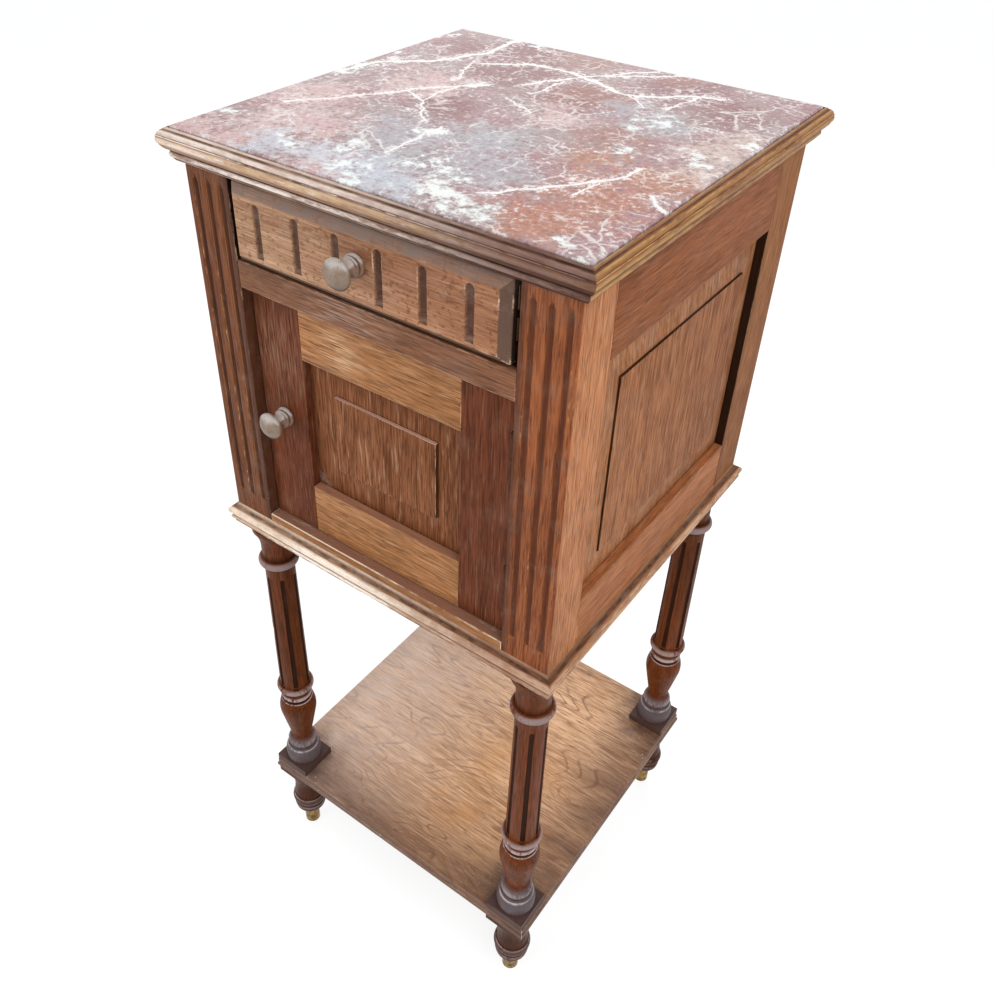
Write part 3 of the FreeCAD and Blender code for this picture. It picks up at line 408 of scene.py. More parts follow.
# Strips and places on the front's boards, in millimetres
DRAWER_SHADE_SPAN = (-100.0, 110.0)
DRAWER_RIM = 7.0
DRAWER_RIM_FACE = 6.2
FLUTE_FOOT = (14.0, 10.5)
RIM_ROOT = (6.8, 7.4)
POST_EDGE = 9.0
POST_FLUTE_MARGIN = 3.0
POST_REVEAL = 1.5
REVEAL_SOFTNESS = 2.5
RAIL_TOP_SHADE = (3.0, 6.0)
RAIL_SCRATCHES = ((-20, -169, 754), 62.0)


def drawer_front_oak():
    oak = Oak(
        "drawer_front_oak", "c49c7b", "8a6146", bands=0.8, lines=0.9, pores=0.7, rays=0.35, flecks=0.6,
    )
    tree = oak.tree
    # Painted shade: the drawer front darkens towards its right.
    oak.paint("ead1c4", oak.ramp(oak.at[0], *DRAWER_SHADE_SPAN), way="MULTIPLY")
    # Painted shade in the flutes
    flutes = oak.shade_flutes("49302a", DRAWER_RIM, 0.85)
    oak.paint("a98b77", flutes, oak.ramp(oak.from_low[2], *FLUTE_FOOT), 0.5)
    edge = calc(tree, "MINIMUM", oak.wall[0], oak.wall[2])
    rim = oak.ramp(edge, DRAWER_RIM, DRAWER_RIM_FACE)
    # The rim's bevels by the way they face: weathered grey on top, and painted shade darkening the sides
    # and the bottom.
    oak.paint("857269", rim, oak.looking(2, 1), spread(tree, oak.cloud(90.0), 0.55, 1.0))
    oak.paint("5f4a3f", rim, oak.looking(0, 1), 0.9)
    oak.paint("6e4f3a", rim, oak.looking(0, -1), 0.6)
    oak.paint("3f2b20", rim, oak.looking(2, -1), 0.8)
    # Painted shade, near black, at the rim's root in the gap round the drawer.
    oak.paint("2a1a12", rim, oak.ramp(oak.from_low[1], *RIM_ROOT), 0.9)
    oak.wear_arrises("cfae90", 0.5)
    oak.dust("ad9a89", 0.22, 40.0)
    oak.knock(0.2)
    return oak.done()


def front_post_oak(side, face, flute, flute_amount):
    oak = Oak(f"front_post_{side}_oak", "c98453", "8f5430", bands=0.8, lines=1.3, pores=0.9, rays=0.3)
    tree = oak.tree
    outward = 1 if side == "right" else -1
    oak.paint(face, oak.looking(1, -1), way="MULTIPLY")
    inner = oak.from_low[0] if side == "right" else oak.to_high[0]
    # Painted shade: a dark strip on the front face beside the opening, as the shadow of the gap.
    oak.paint("3a2017", oak.looking(1, -1), oak.near(inner, POST_EDGE), 0.75)
    oak.wear(oak.looking(1, -1), 0.36, "c79f6e")
    if side == "right":
        oak.wear(times(tree, oak.looking(1, -1), oak.near(oak.to_high[0], POST_EDGE)), 0.55, "cda268")
    # Painted shade in the flutes
    oak.shade_flutes(flute, POST_FLUTE_MARGIN, flute_amount)
    # Painted shade on the post's reveal, near black beside the drawer.
    reveal_shade = times(tree, oak.looking(0, -outward), oak.near(inner, POST_REVEAL))
    oak.paint("3d1f14", reveal_shade, 0.9)
    rail_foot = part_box("drawer_rail")[0].z / MM
    beside_drawer = oak.ramp(oak.at[2], rail_foot - REVEAL_SOFTNESS, rail_foot + REVEAL_SOFTNESS)
    oak.paint("0f0806", reveal_shade, beside_drawer, 0.9)
    oak.wear_arrises("c79a72", 0.5)
    oak.dust("8d7a6c", 0.2, 40.0)
    oak.knock(0.08)
    return oak.done()


def board_oak(name, light, dark, worn="bd9470", shade="4b2e1d", **figure):
    oak = Oak(name, light, dark, **figure)
    oak.shade_edges(shade, 10.0, 0.3)
    oak.wear_arrises(worn, 0.6)
    oak.dust("8d7a6c", 0.15)
    oak.knock(0.06)
    return oak


def front_rail_oak():
    oak = board_oak(
        "drawer_rail_oak", "8f5f42", "5c3926", worn="b98f74", pores=0.9, rays=0.25, bands=0.7, lines=1.1,
    )
    oak.paint("2a1810", oak.looking(2, 1), oak.ramp(oak.from_low[1], *RAIL_TOP_SHADE), 0.9)
    oak.scratches("b39a8c", *RAIL_SCRATCHES, 0.5)
    return oak.done()


def back_post_oak():
    oak = board_oak("back_post_oak", "a4683c", "6e4222", rays=0.2, bands=0.7, lines=1.2, sheen=0.05)
    # Painted shade: the faces that look to the front, deep in the side's recess, are near black.
    oak.paint("170c08", oak.looking(1, -1), 0.92)
    return oak.done()


def threshold_oak():
    oak = board_oak("threshold_oak", "b27d4d", "855535", worn="dfc3ac", pores=0.8)
    oak.paint("8a6150", oak.looking(2, 1), 0.8)
    oak.wear(oak.looking(2, 1), 0.45, "b3968a")
    oak.wear_arrises("e2c8b0", 0.8)
    return oak.done()


# Distances from a panel's edge, hidden in its groove, in millimetres: to the step round its field, and
# to where the shade beside its frame ends
SIDE_FIELD_STEP = 34.5
DOOR_FIELD_STEP = 33.5
FRAME_SHADE = 13.0
SIDE_MARGIN = (7.0, 33.0)
# Marks on the door: middle and reach in millimetres
PANEL_SCUFF = ((-75, -152, 569), 16.0)
DOOR_RAIL_SCRATCHES = ((-36, -160, 714), 30.0)
DOOR_STILE_SCRATCHES = ((-112, -160, 690), 60.0)


def panel_line(oak, across, step, outside):
    """How far a place lies from its panel's nearest edge, and the line round the field, on the outside."""
    edge = calc(oak.tree, "MINIMUM", oak.wall[across], oak.wall[2])
    return edge, times(oak.tree, oak.between(edge, step - 0.6, step + 0.4, 0.25), outside)


def side_panel_oak():
    oak = Oak("side_panel_oak", "ae7044", "744224", bands=0.7, lines=1.4, pores=1.0, rays=0.25, sheen=0.08)
    outside = ease(oak.tree, times(oak.tree, oak.facing[0], oak.at[0]), -0.05, 0.0)
    edge, line = panel_line(oak, 1, SIDE_FIELD_STEP, outside)
    oak.paint("e8c6a6", oak.between(edge, *SIDE_MARGIN, 3.0), oak.cloud(30.0, 0.3, 0.8), 0.15)
    oak.paint("4a2717", oak.near(edge, FRAME_SHADE), oak.cloud(60.0, 0.3, 0.6), 0.8)
    oak.paint("1d0f08", line, 0.9)
    oak.wear_arrises("b07a52", 0.4)
    oak.dust("8d7a6c", 0.15)
    oak.knock(0.08)
    return oak.done()


def door_panel_oak():
    oak = Oak("door_panel_oak", "935d3c", "5f3419", bands=0.6, lines=1.5, pores=0.9, rays=0.4, sheen=0.08)
    outside = ease(oak.tree, oak.facing[1], 0.5, 0.0)
    edge, line = panel_line(oak, 0, DOOR_FIELD_STEP, outside)
    oak.paint("451a08", oak.near(edge, DOOR_FIELD_STEP + 0.5), 0.4)
    oak.paint("33180c", oak.near(edge, FRAME_SHADE), oak.cloud(60.0, 0.3, 0.6), 0.85)
    oak.paint("1d0f08", line, 0.6)
    # Painted highlight on the upward face of the step round the field.
    step = oak.between(edge, DOOR_FIELD_STEP - 1.5, DOOR_FIELD_STEP + 1.5)
    oak.paint("c99f8c", step, oak.looking(2, 1), 0.85)
    oak.paint("8f8178", oak.round_place(*PANEL_SCUFF), oak.cloud(160.0), 0.6)
    oak.wear_arrises("c19c86", 0.6)
    oak.knock(0.08)
    return oak.done()


def door_rail_oak():
    oak = board_oak(
        "door_rail_oak", "ba8255", "7f5029", worn="c79c7c", bands=0.7, lines=1.2, pores=1.0, rays=0.3,
    )
    oak.paint("9a6c55", oak.looking(2, 1), 0.8)
    oak.scratches("dcb893", *DOOR_RAIL_SCRATCHES, 0.6)
    return oak.done()


# Painted shade in the grooves of the mouldings
MOULDING_GROOVE_SHADE = "2b1910"
# Where the front mouldings change tone from left to right, and how far round the middle the sides blend,
# in millimetres
MOULDING_TONE = (-40.0, 140.0)
MIDDLE_BLEND = 50.0

# Strips of the mouldings from their foot up: from and to in millimetres, colour and strength. Their pale
# bands and dark lines follow the profile as painted light and shade, over the wood's own tones.
CORNICE_FRONT_STRIPS = (
    (0.0, 3.2, "5a3a2c", 0.8), (3.6, 7.0, "8f7060", 0.75), (7.4, 8.9, "3b2118", 0.9),
    (9.2, 13.0, "94694a", 0.6), (13.6, 19.0, "dcb98a", 0.65), (19.5, 20.6, "43301f", 0.9),
    (20.8, 23.4, "ead9d0", 0.8), (23.8, 24.6, "4c3629", 0.9), (24.8, 25.5, "e0cdc0", 0.8),
)
CORNICE_SIDE_STRIPS = (
    (0.0, 3.2, "7d5236", 0.7), (3.6, 7.0, "a1754f", 0.7), (7.4, 8.9, "43261c", 0.9),
    (9.2, 13.0, "633f2e", 0.7), (13.6, 19.0, "9c6f42", 0.7), (19.5, 20.6, "4c3217", 0.9),
    (20.8, 23.4, "a2774a", 0.7), (23.8, 24.6, "3f2b1f", 0.9), (24.8, 25.5, "8a6a52", 0.7),
)
BASE_FRONT_STRIPS = (
    (0.0, 2.8, "6b4836", 0.8), (3.2, 7.6, "cdae94", 0.7), (7.8, 9.0, "3f281b", 0.9),
    (9.4, 17.0, "f2dfcc", 0.75), (17.4, 18.9, "4a3022", 0.9), (19.2, 22.0, "e2cab6", 0.7),
)
BASE_SIDE_STRIPS = (
    (0.0, 2.8, "4f3020", 0.8), (3.2, 7.6, "8f6040", 0.6), (7.8, 9.0, "3a2116", 0.9),
    (9.4, 17.0, "b98a66", 0.5), (17.4, 18.9, "40281b", 0.9), (19.2, 22.0, "b08660", 0.4),
)


def inner_faces(oak):
    """The faces of a moulding that look back at the middle of the nightstand, by axis, way and side."""
    for axis in (0, 1):
        yield axis, 1, oak.ramp(oak.at[axis], 0.0, -MIDDLE_BLEND)
        yield axis, -1, oak.ramp(oak.at[axis], 0.0, MIDDLE_BLEND)


def moulding_oak(name, light, dark, worn, strips, dusty, right_end="ffffff"):
    oak = Oak(name, light, dark, bands=0.9, lines=1.3, pores=0.8, rays=0.3)
    for low, high, code, amount in strips:
        strip = oak.between(oak.from_low[2], low, high, 0.35)
        oak.paint(code, strip, spread(oak.tree, oak.cloud(70.0), 0.55, 1.0), amount)
    oak.relief(worn, MOULDING_GROOVE_SHADE, 0.72, crest=(0.03, 0.14), groove=(0.03, 0.18))
    oak.dust(dusty, 0.3, 45.0)
    oak.wear(1.0, 0.3, "4a3328")
    oak.paint(right_end, oak.ramp(oak.at[0], *MOULDING_TONE), way="MULTIPLY")
    oak.knock(0.1)
    # Painted shade: the faces that look back into the nightstand are near black.
    for axis, way, place in inner_faces(oak):
        oak.paint("150c08", oak.looking(axis, way), place, 0.95)
    return oak.done()


# Levels of the stand above the floor, in millimetres
REFLECTING_RINGS = (131.0, 164.0)
PLINTH = (119.0, 130.5)
DARK_FOOT = (112.0, 100.0)
FLUTED_SHAFT = (256.0, 424.0)


def turned_oak():
    oak = Oak(
        "turned_oak", "743916", "3f1d08",
        bands=0.7, lines=1.0, pores=0.5, rays=0.05, polish=0.36, sheen=0.09,
    )
    tree = oak.tree
    level = oak.at[2]
    patchy = spread(tree, oak.cloud(60.0, 0.3, 0.6), 0.5, 0.9)
    # Painted reflection of the sky: the base rings grey-blue.
    oak.paint("5c585c", oak.between(level, *REFLECTING_RINGS, 4.0), patchy)
    oak.paint("4a3d3b", oak.between(level, *PLINTH, 0.6), 0.7)
    oak.paint("2a1810", oak.ramp(level, *DARK_FOOT), 0.6)
    off_shaft = calc(tree, "SUBTRACT", 1.0, oak.between(level, *FLUTED_SHAFT, 3.0))
    # Ring crests rubbed pale, as wear and painted highlight; grooves and flutes darkened as painted shade.
    oak.relief(
        "b5a5a4", "200f07", 0.8, crest=(0.05, 0.14), groove=(0.05, 0.26), amount=0.85,
        share=spread(tree, off_shaft, 0.08, 1.0),
    )
    oak.dust("5f4a3e", 0.12, 45.0)
    oak.knock(0.08)
    return oak.done()


# The shelf's level, its worn middle, where its painted haze fades out and the painted shade round its legs,
# in millimetres
SHELF_LEVEL = 121
SHELF_MIDDLE = (45, -55, SHELF_LEVEL)
SHELF_MIDDLE_REACH = 125.0
SHELF_HAZE_SPAN = (50.0, -150.0)
SHELF_SWELL_DENSITY = (3.2, 11.0, 1.0)
LEG_SHADE_PLACE = 148
LEG_SHADE_REACH = 62.0


def shelf_oak():
    oak = Oak(
        "shelf_oak", "e9ba90", "ad7e57", bands=0.9, lines=1.5, pores=1.0, rays=0.1, polish=0.42, sheen=0.4,
    )
    tree = oak.tree
    swell = noise(tree, stretched(tree, oak.place, SHELF_SWELL_DENSITY), 1.0, 2.0, 0.5, 0.6)
    contour = calc(tree, "PINGPONG", calc(tree, "MULTIPLY", swell, 26.0), 0.5)
    oak.paint("7a5138", ease(tree, contour, 0.16, 0.03), oak.cloud(26.0, 0.4, 0.62), 0.7)
    middle = oak.round_place(SHELF_MIDDLE, SHELF_MIDDLE_REACH)
    oak.paint("cd9050", middle, oak.cloud(22.0, 0.4, 0.65), 0.5)
    # Painted reflection: a pale haze of the sky's sheen, stronger towards the left.
    painted_haze = spread(tree, oak.cloud(30.0, 0.3, 0.7), 0.35, 0.6)
    oak.paint("d8c6bd", oak.ramp(oak.at[0], *SHELF_HAZE_SPAN), painted_haze)
    # Painted shade along the shelf's edges, deepest at the front and the right.
    uneven = spread(tree, noise(tree, oak.streak, 45.0, 5.0, 0.7), 0.1, 1.4)
    edge_shades = (
        (oak.from_low[1], 85.0, 0.95),
        (oak.from_low[0], 40.0, 0.35),
        (oak.to_high[0], 92.0, 1.0),
        (oak.to_high[1], 30.0, 0.4),
    )
    for distance_in, reach, amount in edge_shades:
        oak.paint("5f3d2b", oak.near(distance_in, reach), uneven, amount)
    # Painted shade round the legs.
    for x in (-1, 1):
        for y in (-1, 1):
            corner = (x * LEG_SHADE_PLACE, y * LEG_SHADE_PLACE, SHELF_LEVEL)
            leg_shade = oak.round_place(corner, LEG_SHADE_REACH)
            oak.paint("4a322a", leg_shade, oak.cloud(40.0, 0.3, 0.65), 0.8)
    flat = oak.looking(2, 1)
    oak.paint("5d4032", calc(tree, "SUBTRACT", 1.0, flat), 0.7)
    oak.wear_arrises("b9998a", 0.6)
    oak.paint("efe6dc", oak.cloud(420.0, 0.66, 0.72, 2.0), oak.cloud(20.0, 0.5, 0.6), flat, 0.7)
    oak.knock(0.14)
    return oak.done()


# Where a knob's head ends and its stem starts, from its tip, in millimetres
KNOB_HEAD = (8.0, 10.0)


def knob_oak():
    oak = Oak(
        "knob_oak", "8f7a6a", "68533f", bands=0.8, lines=0.4, pores=0.15, rays=0.0, polish=0.32, sheen=0.45,
    )
    stem = oak.ramp(oak.from_low[1], *KNOB_HEAD)
    oak.paint("7d5c46", stem, 0.75)
    # Painted highlight on the faces that look up and painted shade on those that look down.
    oak.paint("c6c0bc", oak.looking(2, 1), 0.6)
    oak.paint("4a362a", oak.looking(2, -1), 0.75)
    oak.paint("5a4638", oak.cloud(300.0, 0.52, 0.66, 3.0), 0.35)
    oak.relief("c9b9ab", "33231a", 0.5, crest=(0.08, 0.25), groove=(0.05, 0.3), amount=0.8)
    return oak.done()


# Veins of the slab, as places on it in millimetres, with their width
VEINS = (
    (((-172, 2), (-160, 46), (-132, 69), (-117, 99)), 3.6),
    (((-117, 99), (-108, 125), (-112, 177)), 4.2),
    (((-94, 93), (-59, 119), (-16, 119), (41, 99), (52, 99), (92, 132), (109, 136)), 3.0),
    (((-32, 67), (-15, 104), (12, 143), (34, 170)), 2.4),
    (((2, 128), (34, 152), (62, 178)), 2.0),
    (((-149, -84), (-104, -20), (-86, 11), (-54, 49)), 2.4),
    (((-93, -7), (-70, -17), (-42, -50)), 1.8),
    (((-69, 29), (-75, 9), (-70, -17)), 1.6),
    (((70, -133), (90, -110), (109, -83), (123, -64), (130, -34)), 2.4),
    (((85, 86), (88, 111), (92, 132)), 1.8),
    (((-23, -52), (-21, -117)), 1.8),
    (((-103, 96), (-83, 38)), 1.4),
    (((-13, 98), (-16, 50)), 1.5),
    (((115, -102), (122, -62)), 1.4),
    (((155, -70), (172, -87)), 2.6),
    (((-24, 31), (9, 12)), 1.2),
    (((41, 99), (70, 80)), 1.2),
)

# Tinted places of the slab: colour, how strongly it shows, and patches as middle in millimetres and reach
SLAB_TINTS = (
    ("8d6061", 0.85, (
        ((-60, 95), 60), ((20, 66), 48), ((-52, -12), 38), ((75, 140), 55), ((120, 110), 50),
        ((-85, 150), 50), ((-125, 125), 45),
    )),
    ("d3b5b2", 0.75, (
        ((-165, -165), 40), ((-125, -170), 34), ((-110, -115), 55), ((-145, -60), 50), ((-95, 20), 45),
        ((-40, -160), 40), ((30, 20), 30),
    )),
    ("adb0b7", 0.65, (
        ((-35, -80), 50), ((15, -55), 45), ((-5, -125), 48), ((45, -95), 45), ((95, 45), 34),
        ((60, 75), 26),
    )),
    ("a27262", 0.6, (
        ((22, 78), 40), ((-28, 155), 32), ((85, 8), 38), ((60, 165), 26),
    )),
    ("b57656", 0.7, (
        ((132, -95), 48), ((122, -145), 45), ((150, -45), 36), ((95, -40), 25),
    )),
    ("d9c3b8", 0.6, (
        ((152, 18), 34), ((160, 60), 26), ((165, -25), 22),
    )),
    ("c3c9d2", 0.7, (
        ((-95, -150), 30), ((-55, -150), 32), ((-15, -150), 34), ((25, -160), 26),
    )),
)
WHITE_PATCHES = (
    ((-158, 63), 20), ((-163, 28), 20), ((-172, 2), 16), ((-174, -128), 14), ((-172, 150), 18),
    ((-80, 165), 14), ((52, -150), 30), ((32, -122), 20), ((10, -110), 14), ((80, -160), 24),
    ((-25, -150), 22), ((-80, -140), 16), ((155, -165), 16), ((-50, -125), 15), ((-8, -165), 18),
    ((95, 50), 22), ((150, 5), 20), ((165, 60), 16), ((-60, 40), 14), ((-20, -60), 14),
    ((100, -20), 12),
)


def patch_mask(tree, place, patches):
    """Soft patches round the given middles, the strongest one at each place."""
    mask = None
    for (x, y), reach in patches:
        gap = distance(tree, place, (x * MM, y * MM, 0.0))
        patch = ease(tree, gap, 1.3 * reach * MM, 0.2 * reach * MM)
        mask = patch if mask is None else calc(tree, "MAXIMUM", mask, patch)
    return mask


def vein_gap(tree, place):
    """How many widths a place lies from the nearest vein."""
    least = None
    for points, width in VEINS:
        for start, end in zip(points, points[1:]):
            ends = {"Start": (start[0] * MM, start[1] * MM, 0.0), "End": (end[0] * MM, end[1] * MM, 0.0)}
            gap = use(tree, VEIN, {"Place": place, "Width": width * MM, **ends})["Gap"]
            least = gap if least is None else calc(tree, "MINIMUM", least, gap)
    return least


# How densely the slab's mottling is set, per metre, and the depth of its grit
GRIT_DENSITY = 260.0
CLUMP_DENSITY = 85.0
RIPPLE_DENSITY = 48.0
GATHERED_DENSITY = 34.0
BROAD_DENSITY = 20.0
GRIT_DEPTH = 0.08 * MM
# How far the veins and the tinted places stray, in metres
VEIN_SWAY = (0.016, 0.016, 0.0)
PATCH_SWAY = (0.09, 0.09, 0.0)
# Hair cracks: cells per metre, width in cells, how densely they come and go, and strength
HAIR_CRACKS = ((26.0, 0.03, 24.0, 0.6), (75.0, 0.07, 36.0, 0.5))


def slab_marble():
    material, tree, shader = new_material("slab_marble")
    place = object_place(tree)
    flat = stretched(tree, place, (1.0, 1.0, 0.0))
    grit = noise(tree, place, GRIT_DENSITY, 4.0, 0.7)
    clump = noise(tree, place, CLUMP_DENSITY, 5.0, 0.7)
    broad = noise(tree, place, BROAD_DENSITY, 4.0, 0.6)
    ripples = {"Vector": place, "Scale": RIPPLE_DENSITY, "Detail": 5.0, "Roughness": 0.65}
    sway = put(tree, "TexNoise", ripples).outputs["Color"]
    sway = vector_calc(tree, "SUBTRACT", sway, (0.5, 0.5, 0.5))
    swayed = vector_calc(tree, "MULTIPLY_ADD", sway, VEIN_SWAY, flat)
    blown = vector_calc(tree, "MULTIPLY_ADD", sway, PATCH_SWAY, flat)

    # The slab's colours are as pale as the stone looks under the sky, so part of its sheen is painted into
    # them as painted reflection.
    color = mixed(tree, ease(tree, broad, 0.35, 0.65), tint("a88486"), tint("a79492"))
    speck = calc(tree, "MULTIPLY_ADD", clump, 0.5, calc(tree, "SUBTRACT", grit, 0.25))
    uneven = calc(tree, "MULTIPLY_ADD", calc(tree, "ADD", clump, speck), 1.3, -1.3)
    for code, strength, patches in SLAB_TINTS:
        mask = calc(tree, "ADD", patch_mask(tree, blown, patches), uneven)
        color = mixed(tree, calc(tree, "MULTIPLY", ease(tree, mask, 0.1, 1.0), strength), color, tint(code))

    dark_grains = ease(tree, speck, 0.47, 0.33)
    color = mixed(tree, calc(tree, "MULTIPLY", dark_grains, 0.45), color, tint("9a7573"), "MULTIPLY")
    pale_grains = ease(tree, speck, 0.53, 0.68)
    gathered = ease(tree, noise(tree, place, GATHERED_DENSITY, 3.0), 0.4, 0.6)
    gathered = spread(tree, gathered, 0.3, 0.85)
    color = mixed(tree, times(tree, pale_grains, gathered), color, tint("e4e0e2"))
    patches = patch_mask(tree, blown, WHITE_PATCHES)
    cover = calc(tree, "MULTIPLY_ADD", calc(tree, "SUBTRACT", clump, 0.5), 4.0, patches)
    white = calc(tree, "MULTIPLY_ADD", calc(tree, "SUBTRACT", grit, 0.5), 1.2, cover)
    color = mixed(tree, calc(tree, "MULTIPLY", ease(tree, white, 0.45, 1.35), 0.95), color, tint("e9efec"))

    gap = vein_gap(tree, swayed)
    ragged = calc(tree, "MULTIPLY_ADD", calc(tree, "SUBTRACT", grit, 0.5), 2.6, gap)
    halo = times(tree, ease(tree, gap, 4.5, 0.8), ease(tree, speck, 0.48, 0.6), 0.8)
    veins = calc(tree, "MAXIMUM", halo, ease(tree, ragged, 0.85, 0.35))
    for size, width, spacing, strength in HAIR_CRACKS:
        cells = put(tree, "TexVoronoi", {"Vector": swayed, "Scale": size}, feature="DISTANCE_TO_EDGE")
        hair = ease(tree, cells.outputs["Distance"], width, 0.2 * width)
        stretches = ease(tree, noise(tree, place, spacing, 3.0), 0.5, 0.62)
        veins = calc(tree, "MAXIMUM", veins, times(tree, hair, stretches, strength))
    color = mixed(tree, veins, color, tint("eee9e6"))

    tree.links.new(color, shader.inputs["Base Color"])
    tree.links.new(spread(tree, clump, 0.3, 0.5), shader.inputs["Roughness"])
    shader.inputs["Specular IOR Level"].default_value = 0.05
    give_bump(tree, shader, grit, GRIT_DEPTH, 0.4)
    return material


PATINA_DENSITY = 160.0
METAL_SCRATCH_DENSITY = (900.0, 900.0, 90.0)
METAL_SCRATCH_DEPTH = 0.04 * MM


def dull_metal(name, bright, dark, polish, metallic, sheen):
    material, tree, shader = new_material(name)
    place = object_place(tree)
    patina = noise(tree, place, PATINA_DENSITY, 4.0, 0.65)
    scratch = noise(tree, stretched(tree, place, METAL_SCRATCH_DENSITY), 1.0, 3.0)
    color = mixed(tree, ease(tree, patina, 0.38, 0.66), tint(bright), tint(dark))
    tree.links.new(color, shader.inputs["Base Color"])
    tree.links.new(calc(tree, "MULTIPLY_ADD", patina, 0.3, polish), shader.inputs["Roughness"])
    shader.inputs["Metallic"].default_value = metallic
    shader.inputs["Specular IOR Level"].default_value = sheen
    give_bump(tree, shader, scratch, METAL_SCRATCH_DEPTH, 0.4)
    return material


# Pieces

MERGE_GAP = 0.002 * MM
FLAT_ANGLE = math.radians(0.8)
ARRIS_ANGLE = math.radians(35)
RELIEF_REACH = 3.2 * MM
# How far use has rounded the arrises, in millimetres
FRONT_RAIL_ARRIS = 0.8
POST_ARRIS = 0.7
DRAWER_FRONT_ARRIS = 0.7
RAIL_ARRIS = 0.6
SHELF_ARRIS = 0.5
INNER_ARRIS = 0.5
PANEL_ARRIS = 0.4
DRAWER_BOX_ARRIS = 0.4
# Where a board's grain may start, in metres, so that no two boards look alike
GRAIN_STARTS = (1.0, 9.0)
seeds = random.Random(1900)


def soften(mesh, arris):
    """Rounds the outer edges of a board, as use does, and marks the rounded strips."""
    mark = mesh.faces.layers.float.new("arris")
    edges = [e for e in mesh.edges if e.is_manifold and e.is_convex and e.calc_face_angle() > ARRIS_ANGLE]
    made = bmesh.ops.bevel(
        mesh, geom=edges, offset=arris, offset_type="OFFSET", affect="EDGES", segments=2, profile=0.5,
        material=-1, clamp_overlap=False, loop_slide=True,
    )
    strips = set(made["faces"])
    for face in strips:
        face[mark] = 1.0
    for edge in mesh.edges:
        sides = [face in strips for face in edge.link_faces]
        edge.smooth = len(sides) == 2 and sides[0] == sides[1]


def sharpen(mesh):
    """Keeps flat faces flat: an edge with a clear turn shades as an edge."""
    for edge in mesh.edges:
        if len(edge.link_faces) != 2 or edge.calc_face_angle() > ARRIS_ANGLE:
            edge.smooth = False
    for face in mesh.faces:
        face.smooth = True


def mark_relief(mesh):
    """Marks how far each vertex stands out of its surroundings: grooves below nought, crests above it."""
    mark = mesh.verts.layers.float.new("relief")
    tree = kdtree.KDTree(len(mesh.verts))
    for index, vertex in enumerate(mesh.verts):
        tree.insert(vertex.co, index)
    tree.balance()
    for vertex in mesh.verts:
        near = tree.find_range(vertex.co, RELIEF_REACH)
        middle = sum((spot for spot, _, _ in near), Vector()) / len(near)
        vertex[mark] = (vertex.co - middle).dot(vertex.normal) / RELIEF_REACH


def mark_board(mesh, node, grain_axis):
    """Writes a board's own coordinates: along its grain, from its box's walls, and where its faces look."""
    low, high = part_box(node)
    start = Vector([seeds.uniform(*GRAIN_STARTS) for _ in range(3)])
    axes = {"x": (0, 1, 2), "y": (1, 0, 2), "z": (2, 0, 1)}[grain_axis]
    grain = mesh.verts.layers.float_vector.new("grain")
    from_low = mesh.verts.layers.float_vector.new("from_low")
    to_high = mesh.verts.layers.float_vector.new("to_high")
    facing = mesh.faces.layers.float_vector.new("facing")
    for vertex in mesh.verts:
        vertex[grain] = Vector([vertex.co[axis] for axis in axes]) + start
        vertex[from_low] = vertex.co - low
        vertex[to_high] = high - vertex.co
    for face in mesh.faces:
        face[facing] = face.normal


def finish_piece(node, body, material, grain_axis="z", arris=0.0, relief=False):
    """A finished copy of a solid, which stands for it and moves with its body."""
    mesh = bmesh.new()
    mesh.from_mesh(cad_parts[node].data)
    bmesh.ops.remove_doubles(mesh, verts=mesh.verts, dist=MERGE_GAP)
    bmesh.ops.dissolve_limit(mesh, angle_limit=FLAT_ANGLE, verts=mesh.verts, edges=mesh.edges)
    if arris:
        soften(mesh, arris * MM)
    sharpen(mesh)
    mesh.normal_update()
    if relief:
        mark_relief(mesh)
    mark_board(mesh, node, grain_axis)
    data = bpy.data.meshes.new(f"{node}_finished")
    mesh.to_mesh(data)
    mesh.free()
    if "custom_normal" in data.attributes:
        data.attributes.remove(data.attributes["custom_normal"])
    data.materials.clear()
    data.materials.append(material)
    piece = bpy.data.objects.new(f"{node}_finished", data)
    bpy.context.scene.collection.objects.link(piece)
    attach(piece, body)
    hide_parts(node)


def finish_case():
    posts = {
        "left": front_post_oak("left", "9c8d82", "34201a", 0.85),
        "right": front_post_oak("right", "c6b0a4", "4d281b", 0.8),
    }
    back_post = back_post_oak()
    rail_figure = {"bands": 0.7, "lines": 1.1, "pores": 0.7, "sheen": 0.08}
    side_rail = board_oak("side_rail_oak", "995930", "69371a", **rail_figure).done()
    low_rail = board_oak("side_low_rail_oak", "b87448", "88502e", rays=0.2, **rail_figure).done()
    side_panel = side_panel_oak()
    for side in SIDES:
        finish_piece(f"post_front_{side}", "root", posts[side], "z", POST_ARRIS)
        finish_piece(f"post_back_{side}", "root", back_post, "z", POST_ARRIS)
        finish_piece(f"side_rail_top_{side}", "root", side_rail, "y", RAIL_ARRIS)
        finish_piece(f"side_rail_bottom_{side}", "root", low_rail, "y", RAIL_ARRIS)
        finish_piece(f"side_panel_{side}", "root", side_panel, "z", PANEL_ARRIS)
    finish_piece("drawer_rail", "root", front_rail_oak(), "x", FRONT_RAIL_ARRIS)
    finish_piece("threshold_rail", "root", threshold_oak(), "x", FRONT_RAIL_ARRIS)


